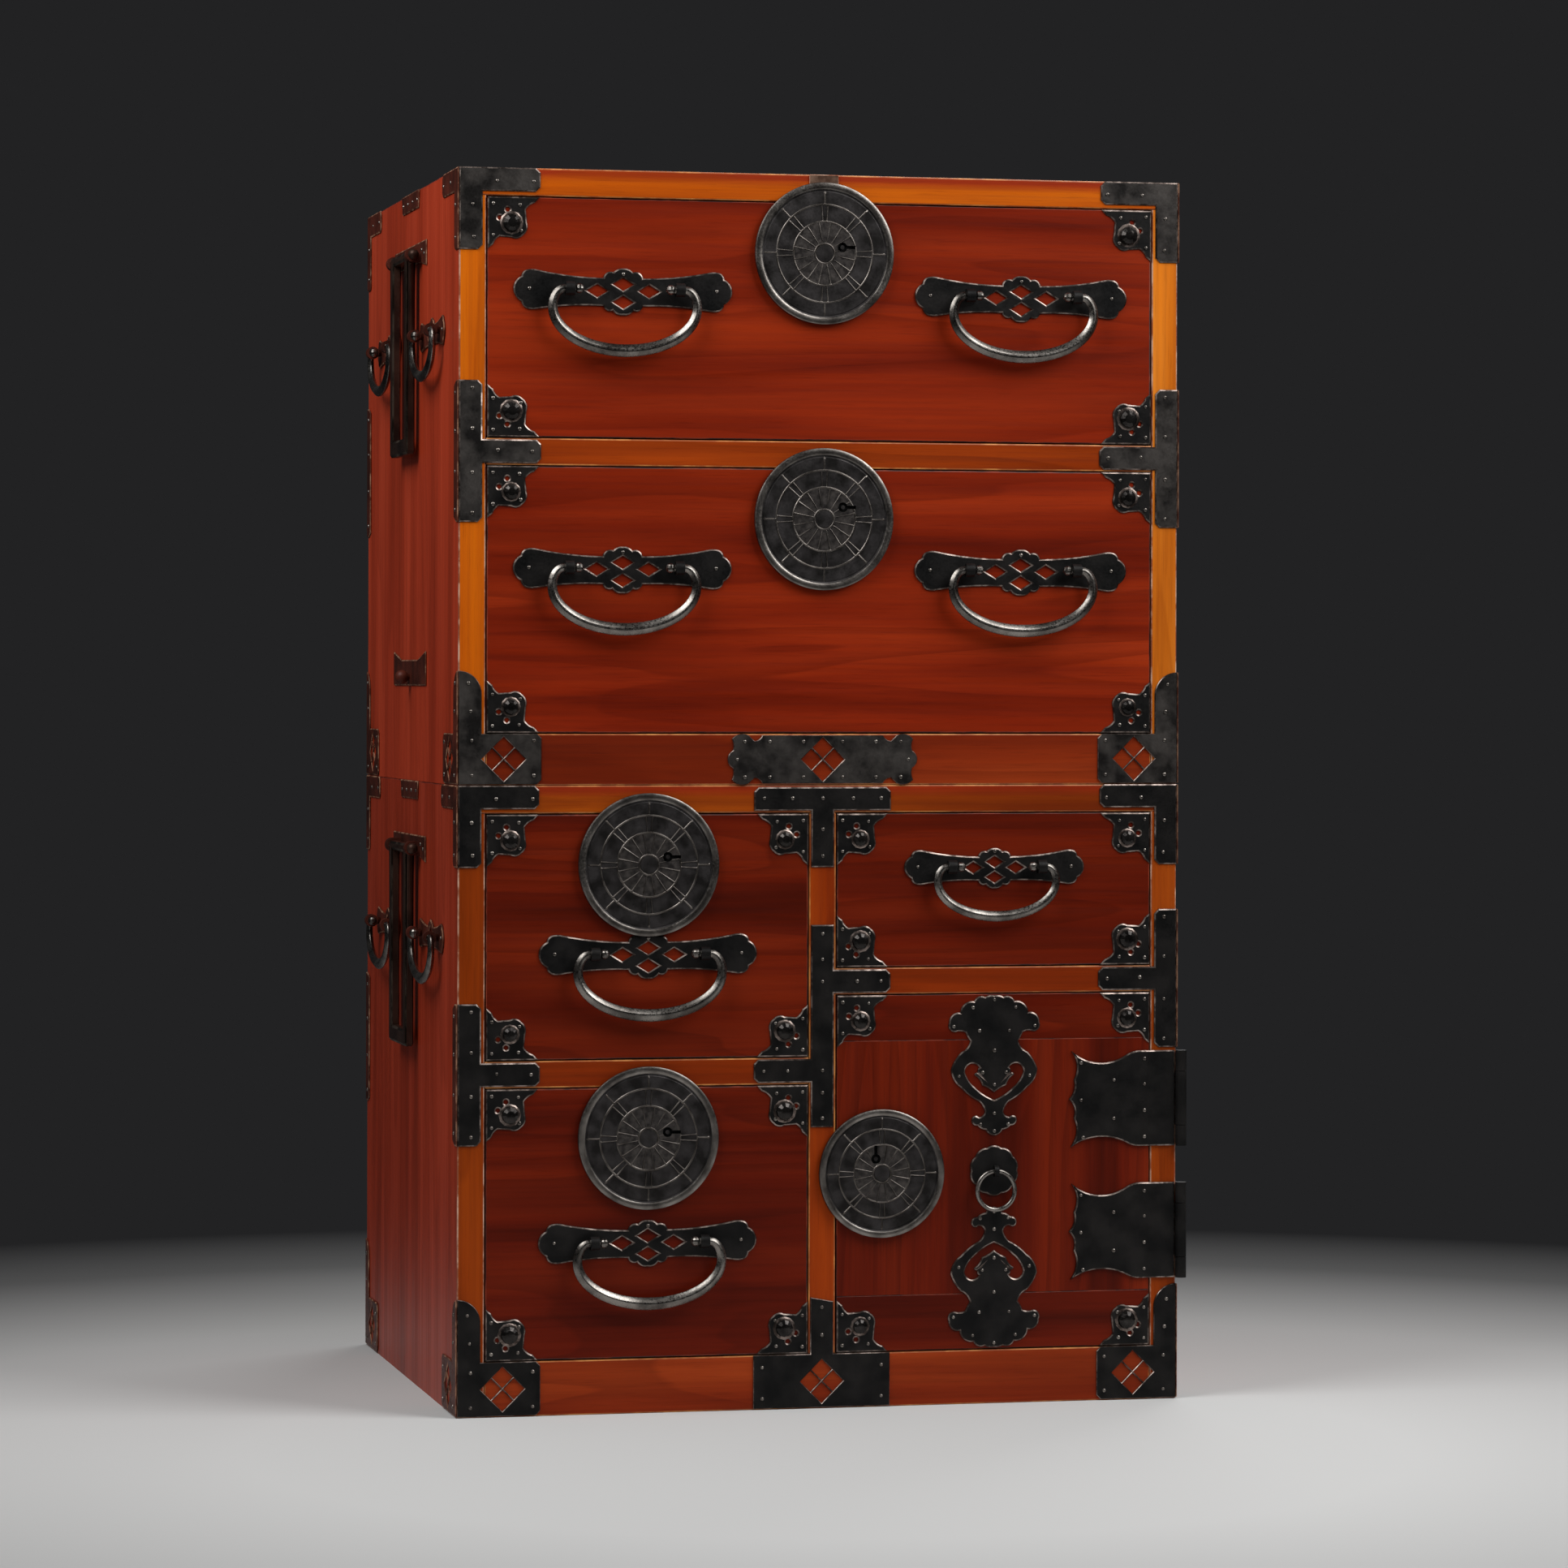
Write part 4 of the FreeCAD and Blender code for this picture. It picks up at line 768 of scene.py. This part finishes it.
def lock_grid():
    """Shares of the radius and turns at which the lock plate's surface changes."""
    over_line = (-1, -0.5, 0, 0.5, 1)
    hub_steps, rim_steps = 4, 8
    shares = [hub_share * (i + 1) / hub_steps for i in range(hub_steps)]
    shares += [fan_share, lip_share, groove_share, (groove_share + rim_share) / 2]
    shares += [(ring_shares[0] + ring_shares[1]) / 2, (ring_shares[1] + hub_share) / 2]
    shares += [ring + ring_half_share * place for ring in ring_shares for place in over_line]
    rim_turns = [math.pi * i / rim_steps for i in range(rim_steps + 1)]
    shares += [rim_share + (1 - rim_share) * (1 - math.cos(turn)) / 2 for turn in rim_turns]
    turns = []
    for i in range(spoke_count):
        for side in (-pair_turn, 0, pair_turn):
            turns += [math.tau * i / spoke_count + side + spoke_half * place for place in over_line]
    for i in range(fan_count):
        turns += [math.tau * (i + 0.5) / fan_count + fan_half * place for place in over_line]
    turns = sorted(turn % math.tau for turn in turns)
    filled = []
    for turn, after in zip(turns, turns[1:] + [turns[0] + math.tau]):
        steps = max(1, math.ceil((after - turn) / widest_step))
        filled += [turn + (after - turn) * i / steps for i in range(steps)]
    return sorted(shares), filled


key_radius, key_slot, key_slot_half, key_depth, key_pin = 4.4 * mm, 12 * mm, 1.5 * mm, 2.2 * mm, 1.9 * mm
key_steps, pin_steps = 20, 14
# Each keyhole is off the middle by shares of the plate's radius, with its slot turned by degrees
key_places = {
    "upper_top_drawer": (0.255, 0.09, 0), "upper_low_drawer": (0.27, 0.17, 0),
    "left_top_drawer": (0.265, 0.11, 0), "left_low_drawer": (0.27, 0.08, 0), "door": (-0.1, 0.23, 90),
}


def arc(x, z, radius, turns):
    """Points on a circle in X and Z."""
    return [(x + radius * math.cos(turn), z + radius * math.sin(turn)) for turn in turns]


def prism(shape, points, near, far):
    """Add a closed block with an outline of points in X and Z, between two distances in Y."""
    rows = [[shape.verts.new((x, y, z)) for x, z in points] for y in (near, far)]
    faces = [shape.faces.new(row) for row in rows]
    for i in range(len(points)):
        faces.append(shape.faces.new((rows[0][i - 1], rows[0][i], rows[1][i], rows[1][i - 1])))
    bmesh.ops.recalc_face_normals(shape, faces=faces)


def cut_keyhole(plate, x, z, turn, face):
    """Sink a keyhole into a lock plate and give the finished mesh, with the pin standing in the hole."""
    gap = math.asin(key_slot_half / key_radius)
    outline = arc(x, z, key_radius,
                  [turn + gap + (math.tau - 2 * gap) * i / key_steps for i in range(key_steps + 1)])
    slot_turn = math.atan2(key_slot_half, key_slot)
    outline += arc(x, z, math.hypot(key_slot, key_slot_half), (turn - slot_turn, turn + slot_turn))
    hole = bmesh.new()
    prism(hole, outline, face - 2 * key_depth, face + key_depth)
    # The cutter's painted shade passes to the walls and floor of the keyhole
    cutter = in_scene("keyhole", mesh_of(hole, "keyhole", keyhole_painted_shade))
    blank = in_scene("lock_blank", plate)
    cut = blank.modifiers.new("Keyhole", "BOOLEAN")
    cut.object = cutter
    cut.operation = "DIFFERENCE"
    cut.solver = "EXACT"
    cut.material_mode = "TRANSFER"
    made = worked(blank)
    bpy.data.objects.remove(cutter)
    whole = bmesh.new()
    whole.from_mesh(made)
    pin = arc(x, z, key_pin, [math.tau * i / pin_steps for i in range(pin_steps)])
    prism(whole, pin, face, face + key_depth)
    whole.to_mesh(made)
    whole.free()
    return made


def lock_plate(name, body, centre, radius):
    """Turned and chased disc on a smaller foot, with a keyhole cut into it."""
    shares, turns = lock_grid()
    count = len(turns)
    shape = bmesh.new()

    def ring(share, heights):
        outline = arc(centre.x, centre.z, radius * share, turns)
        return [shape.verts.new((x, centre.y - height, z)) for (x, z), height in zip(outline, heights)]

    rows = [ring(share, [plate_field + lock_rise(share, turn) for turn in turns]) for share in shares]
    for share, height in ((1, plate_foot), (foot_share, plate_foot), (foot_share, 0)):
        rows.append(ring(share, [height] * count))
    risen = [[chased(share, turn) for turn in turns] for share in shares]
    for i in range(len(rows) - 1):
        for k in range(count):
            n = (k + 1) % count
            face = shape.faces.new((rows[i][k], rows[i][n], rows[i + 1][n], rows[i + 1][k]))
            if i + 1 < len(shares):
                iron = iron_heart if hub_share <= shares[i] < ring_shares[1] else iron_field
                if risen[i][k] + risen[i][n] + risen[i + 1][n] + risen[i + 1][k] > least_risen:
                    iron = iron_line
                face.material_index = lock_irons.index(iron_rim if shares[i] >= rim_share else iron)
    middle = shape.verts.new(centre + Vector((0, -plate_field - hub_rise, 0)))
    for k in range(count):
        shape.faces.new((middle, rows[0][(k + 1) % count], rows[0][k]))
    shape.faces.new(rows[-1])
    bmesh.ops.recalc_face_normals(shape, faces=shape.faces)
    share_x, share_z, degrees = key_places[body]
    made = cut_keyhole(mesh_of(shape, name, *lock_irons), centre.x + share_x * radius,
                       centre.z + share_z * radius, math.radians(degrees), centre.y - plate_field)
    finished(name, made, body, "lock_iron")


# Nails and bosses in mm from the corner of a front, and along a handle plate in shares of its half width
corner_nails = ((5, 6), (29, 7), (5, 34), (30, 30))
corner_boss = ((21.5, 23),)
boss_radius, boss_rise = 8.8 * mm, 6.5 * mm
# The collars are a painted highlight: bright iron round the foot of each boss
highlight_collar_radius, highlight_collar_rise = 11 * mm, 1.6 * mm
plate_end_share, plate_top_nail = 0.855, 14
plate_half, small_plate_half = 99.5, 84


def on_corners(nails, low, high):
    """Nails on the four corner irons of a front."""
    places = []
    for hand, x in ((1, low.x), (-1, high.x)):
        for way, z in ((1, low.z), (-1, high.z)):
            places += on_front([(across, way * up) for across, up in nails], x, z, hand)
    return places


def drive_bosses(body, low, high, seed):
    """Domed bosses on the four corner irons of a front, each in a thin collar of bright edge iron, a painted
    highlight round its foot.
    """
    bosses = on_corners(corner_boss, low, high)
    drive(body + "_bosses", body, bosses, boss_radius, boss_rise, seed, boss_iron)
    drive(body + "_boss_highlight_collars", body, bosses, highlight_collar_radius, highlight_collar_rise, seed, bright_edge)


for seed, drawer in enumerate(drawer_seeds):
    irons = merged_copy(drawer + "_irons")
    found = split_round_plate(irons)
    rubbed_sheet(drawer + "_irons", ("front",), (black_iron, bright_edge), irons)
    if found:
        lock_plate(drawer + "_lock_plate", drawer, *found)
    low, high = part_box(drawer + "_front")
    nails = on_corners(corner_nails, low, high)
    end = plate_end_share * (small_plate_half if drawer == "right_small_drawer" else plate_half)
    for row in record["behaviour"]["joints"]:
        if row["parent"] == drawer and row["name"].endswith("_bail_swing"):
            x, y, z = row["pos_m"]
            nails += on_front(((-end, 0), (end, 0), (0, plate_top_nail)), x, z, 1, handle_sheet)
    drive(drawer + "_nails", drawer, nails, nail_radius, nail_rise, seed, nail_iron)
    drive_bosses(drawer, low, high, seed)

# Lock bolts and strike plate
# A square iron bolt slides in the lock case behind each lock plate and shoots into the board beyond.
# A small strike plate is nailed over the top board's edge above the first lock.
iron_ease = 0.45 * mm
strike_half, strike_height, strike_sheet, strike_rub = 13.5 * mm, 15 * mm, 1.2 * mm, 0.5 * mm
# Rust has turned the strike plate brown, and filing keeps the bolts a clean grey
strike_iron = forged_iron("rust_brown_sheet", "#4e3629", "#7a5f4e", 3.3, rough=0.5, metal=0.3,
                          cloud_size=9 * mm, dent_depth=0.3 * mm)
bolt_iron = forged_iron("filed_iron_bolt", "#4a4744", "#6e6a66", 8.1, rough=0.4)
for node in [name for name in frame["nodes"] if name.endswith("_lock_bolt")]:
    eased(node, {"rest": bolt_iron}, bright_edge, iron_ease)
bolt_low, bolt_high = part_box("upper_top_drawer_lock_bolt")
bolt_x = (bolt_low.x + bolt_high.x) / 2
strike = bmesh.new()
block(strike, (bolt_x - strike_half, front - strike_sheet, case_high.z - strike_height),
      (bolt_x + strike_half, front, case_high.z))
worn = bmesh.ops.bevel(strike, geom=strike.edges[:], offset=strike_rub, segments=1, affect="EDGES")
for face in worn["faces"]:
    face.material_index = 1
bmesh.ops.recalc_face_normals(strike, faces=strike.faces)
strike_mesh = mesh_of(strike, "upper_strike_plate", strike_iron, rubbed_side)
finished("upper_strike_plate", strike_mesh, "upper_case", "black_iron")

# Door boards
# An upright panel of the same wood, held flat by a clamp across its top and one across its foot.
# Both are wiped with the deep red-brown lacquer of the lower drawers.
door_ease = front_ease / 2
# The lacquer glows red, and the turn of its grain shows where panel and clamps meet
panel_lacquer = grained_wood("red_brown_wiped_zelkova_panel", deep_red_brown, along_z, 13.3, lacquered)
clamp_lacquer = grained_wood("red_brown_wiped_zelkova_clamp", deep_red_brown, along_x, 15.1, lacquered)
eased("door_panel", {"rest": panel_lacquer, "back": bare_upright}, dark_edge, door_ease)
eased("door_clamps", {"rest": clamp_lacquer, "back": bare_flat}, dark_edge, door_ease)

# Door irons and ring pull
# Corner irons, two crest plates with a pierced scroll, two strap hinges that fold round the upright, a
# scalloped rose with its ring, and a lock plate like those of the drawers but smaller.
irons = merged_copy("door_irons")
found = split_round_plate(irons)
rubbed_sheet("door_irons", ("front",), (black_iron, bright_edge), irons)
lock_plate("door_lock_plate", "door", *found)
# Nails in mm from the door's right edge and the middle of a hinge, and from the middle and end of the door
hinge_nails = ((-65, 33), (-65, -1), (-63, -35), (-34, 17), (-34, -18),
               (-5, 36), (-5, 13), (-5, -11), (-5, -35))
crest_nails = ((0, 5), (20, 12), (-20, 12), (38, 29), (-38, 29), (14, 33), (-14, 33), (0, 51), (33, 74),
               (-33, 74), (11, 71), (-11, 71), (0, 82), (0, 108), (13, 118), (-13, 118), (0, 124))
hinge_levels = (274.7 * mm, 154.3 * mm)
door_nail_seed, door_boss_seed = 7, 8
door_low = Vector(map(min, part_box("door_panel")[0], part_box("door_clamps")[0]))
door_high = Vector(map(max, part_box("door_panel")[1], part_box("door_clamps")[1]))
door_middle = pivot("door_ring_swing").x
nails = on_corners(corner_nails, door_low, door_high)
for level in hinge_levels:
    nails += on_front(hinge_nails, door_high.x, level, 1, hinge_sheet)
nails += on_front([(across, -down) for across, down in crest_nails], door_middle, door_high.z)
nails += on_front(crest_nails, door_middle, door_low.z)
drive("door_nails", "door", nails, nail_radius, nail_rise, door_nail_seed, nail_iron)
drive_bosses("door", door_low, door_high, door_boss_seed)
# Hands keep the ring and the bails a polished grey with soft dents
polished_bar = forged_iron("polished_forged_bar", "#57534f", "#938e88", 9.2, rough=0.32,
                           cloud_size=22 * mm, dent_depth=0.3 * mm)
eased("door_ring_pull", {"rest": polished_bar}, polished_bar, iron_ease)

# Drop handles
# Each bail is forged from one bar: thin where it turns in its eyes, swelling to a heavy crescent below,
# with a small ball on each end. Hands have polished it grey.
tip_share, flank_share, swell_share = 0.044, 0.07, 0.088
bar_depth_share, bar_width_share, bar_round_share = 0.8, 1.6, 0.5
eye_share, side_eye_share, straight_share = 0.708, 0.75, 0.09
swell_power = 0.7
ball_radius = 4.4 * mm
eye_length, shoulder_gap = 8 * mm, 0.8 * mm
eye_steps, shoulder_steps, bow_steps = 3, 8, 18


def quarter(x, z, wide, tall, start, count):
    """Points along a quarter of an ellipse, turning to the right, without its first one."""
    turns = [start - math.pi / 2 * (i + 1) / count for i in range(count)]
    return [(x + wide * math.cos(turn), z + tall * math.sin(turn)) for turn in turns]


def bail_path(half, drop, eye):
    """Right half of a bail's middle line from its inner end to the bottom, as distances along and up."""
    start = eye + eye_length / 2 + shoulder_gap
    inner = eye - eye_length / 2 - ball_radius
    side = half * (1 - flank_share)
    widest = side - start + straight_share * drop
    fall = drop - half * swell_share - widest
    path = [(inner + (start - inner) * i / eye_steps, 0) for i in range(eye_steps + 1)]
    path += quarter(start, -widest, side - start, widest, math.pi / 2, shoulder_steps)
    return path + quarter(0, -widest, side, fall, 0, bow_steps)


def forged_bail_tree():
    """Bar swept along a bent line with a softened diamond section and a ball on each end."""
    tree, given = new_tree("forged_bail", {
        "Depth share": "NodeSocketFloat", "Width share": "NodeSocketFloat", "Round share": "NodeSocketFloat",
        "Ball radius": "NodeSocketFloat", "Iron": "NodeSocketMaterial"})
    thick = add_node(tree, "GeometryNodeInputNamedAttribute", {"Name": "thick"}, data_type="FLOAT")
    tip = add_node(tree, "GeometryNodeInputNamedAttribute", {"Name": "tip"}, data_type="BOOLEAN")
    line = add_node(tree, "GeometryNodeMeshToCurve", {"Mesh": given.outputs["Geometry"]})
    square = add_node(tree, "GeometryNodeCurvePrimitiveQuadrilateral",
                      {"Width": given.outputs["Width share"], "Height": given.outputs["Width share"]})
    soft = add_node(tree, "GeometryNodeFilletCurve",
                    {"Curve": square, "Count": 4, "Radius": given.outputs["Round share"]}, mode="POLY")
    diamond = add_node(tree, "GeometryNodeTransform", {"Geometry": soft, "Rotation": (0, 0, math.pi / 4)})
    flatten = add_node(tree, "ShaderNodeCombineXYZ", {"X": given.outputs["Depth share"], "Y": 1, "Z": 1})
    section = add_node(tree, "GeometryNodeTransform", {"Geometry": diamond, "Scale": flatten})
    bar = add_node(tree, "GeometryNodeCurveToMesh",
                   {"Curve": line, "Profile Curve": section, "Scale": thick, "Fill Caps": True})
    ball = add_node(tree, "GeometryNodeMeshUVSphere",
                    {"Segments": 14, "Rings": 8, "Radius": given.outputs["Ball radius"]})
    balls = add_node(tree, "GeometryNodeInstanceOnPoints",
                     {"Points": given.outputs["Geometry"], "Selection": tip, "Instance": ball})
    both = add_node(tree, "GeometryNodeJoinGeometry", {"Geometry": bar})
    tree.links.new(balls.outputs[0], both.inputs[0])
    return ended(tree, given, both)


bail_tree = forged_bail_tree()
bail_values = {"Depth share": bar_depth_share, "Width share": bar_width_share,
               "Round share": bar_round_share, "Ball radius": ball_radius, "Iron": polished_bar}
for node in [name for name in frame["nodes"] if name.endswith("_bail")]:
    low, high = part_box(node)
    centre = pivot(node + "_swing")
    across = high - low
    on_the_side = across.y > across.x
    half = max(across.x, across.y) / 2
    path = bail_path(half, centre.z - low.z, half * (side_eye_share if on_the_side else eye_share))
    right = [(u, w, (i / (len(path) - 1)) ** swell_power) for i, (u, w) in enumerate(path)]
    line = [(-u, w, s) for u, w, s in right] + right[-2::-1]
    points = [centre + (Vector((0, u, w)) if on_the_side else Vector((u, 0, w))) for u, w, s in line]
    carrier = bpy.data.meshes.new(node + "_forged")
    carrier.from_pydata(points, [(i, i + 1) for i in range(len(points) - 1)], [])
    thick = carrier.attributes.new("thick", "FLOAT", "POINT")
    thick.data.foreach_set("value", [half * (tip_share + (swell_share - tip_share) * s) for u, w, s in line])
    tips = carrier.attributes.new("tip", "BOOLEAN", "POINT")
    tips.data.foreach_set("value", [i in (0, len(points) - 1) for i in range(len(points))])
    finished(node + "_forged", grown(bail_tree, carrier, bail_values), body_of[node], slot_of[node], node)

# Camera, floor and light
# A plain pale floor with a painted pool of light that fades into a dark backdrop, under large soft lights
# from the upper right and left.
# The camera stands level and far off, a little to the left.
camera_place = Vector((-1.106, -4.988, 0.654))
camera_turn = [math.radians(angle) for angle in (90, -0.12, -12.77)]
lens, sensor, lens_rise = 123.7, 36, -0.0654
camera = in_scene("camera", bpy.data.cameras.new("camera"))
camera.data.lens = lens
camera.data.sensor_width = sensor
camera.data.shift_y = lens_rise
camera.location = camera_place
camera.rotation_euler = camera_turn
bpy.context.scene.camera = camera

# Matt paper, pale near the chest and lost in the backdrop's grey farther off. The fade is a painted pool of
# light: with distance the paper is mixed into a glow of the backdrop's grey
floor_half, floor_reach = 40, 2.0
floor_middle = (-0.05, -0.5)
painted_light_pool = ((0.06, 1), (0.25, 0.83), (0.52, 0.25), (0.75, 0))
backdrop_grey = linear("#222223")
floor_paper, tree, place = new_material("pale_studio_paper")
spot = add_node(tree, "ShaderNodeMapping",
                {"Vector": place, "Location": [-c / floor_reach for c in (*floor_middle, 0)],
                 "Scale": (1 / floor_reach,) * 3})
fade = add_node(tree, "ShaderNodeTexGradient", {"Vector": spot}, gradient_type="SPHERICAL")
far = add_node(tree, "ShaderNodeValToRGB", {"Fac": fade}, [(at, grey(share)) for at, share in painted_light_pool])
paper = add_node(tree, "ShaderNodeBsdfPrincipled",
                 {"Base Color": linear("#c4c4c3"), "Roughness": 0.9, "Specular IOR Level": 0})
far_glow = add_node(tree, "ShaderNodeEmission", {"Color": backdrop_grey, "Strength": 1})
ground = add_node(tree, "ShaderNodeMixShader", {"Fac": far})
tree.links.new(paper.outputs[0], ground.inputs[1])
tree.links.new(far_glow.outputs[0], ground.inputs[2])
add_node(tree, "ShaderNodeOutputMaterial", {"Surface": ground})
floor_mesh = bpy.data.meshes.new("floor")
corners = [(x * floor_half, y * floor_half, 0) for x, y in ((-1, -1), (1, -1), (1, 1), (-1, 1))]
floor_mesh.from_pydata(corners, [], [(0, 1, 2, 3)])
floor_mesh.materials.append(floor_paper)
floor = in_scene("floor", floor_mesh)

# Place and size in metres and power in watts
soft_lights = (
    ("right", (1.5, -1.35, 2.3), 1.5, 51),
    ("left", (-1.25, -0.75, 2.1), 1.2, 30),
    ("behind", (1.6, 2.6, 2.8), 2.0, 45),
)
aim = (cad_box[0] + cad_box[1]) / 2
for name, place, size, power in soft_lights:
    light = in_scene(name, bpy.data.lights.new(name, "AREA"))
    light.data.size = size
    light.data.energy = power
    light.location = place
    light.rotation_euler = (aim - Vector(place)).to_track_quat("-Z", "Y").to_euler()

# The sky lights the chest evenly, and the eye and the gloss see the backdrop instead
world = bpy.data.worlds.new("studio")
world.use_nodes = True
tree = world.node_tree
tree.nodes.clear()
rays = add_node(tree, "ShaderNodeLightPath")
seen = add_node(tree, "ShaderNodeMath", {"Value": rays.outputs["Is Camera Ray"]}, operation="ADD")
tree.links.new(rays.outputs["Is Glossy Ray"], seen.inputs[1])
shown = add_node(tree, "ShaderNodeMath", {"Value": seen}, operation="ADD", use_clamp=True)
tree.links.new(rays.outputs["Is Transmission Ray"], shown.inputs[1])
sky = add_node(tree, "ShaderNodeBackground", {"Color": linear("#e4e4e6"), "Strength": 0.25})
backdrop = add_node(tree, "ShaderNodeBackground", {"Color": backdrop_grey, "Strength": 1})
lit = add_node(tree, "ShaderNodeMixShader", {"Fac": shown})
tree.links.new(sky.outputs[0], lit.inputs[1])
tree.links.new(backdrop.outputs[0], lit.inputs[2])
add_node(tree, "ShaderNodeOutputWorld", {"Surface": lit})
bpy.context.scene.world = world
bpy.context.scene.view_settings.view_transform = "Standard"
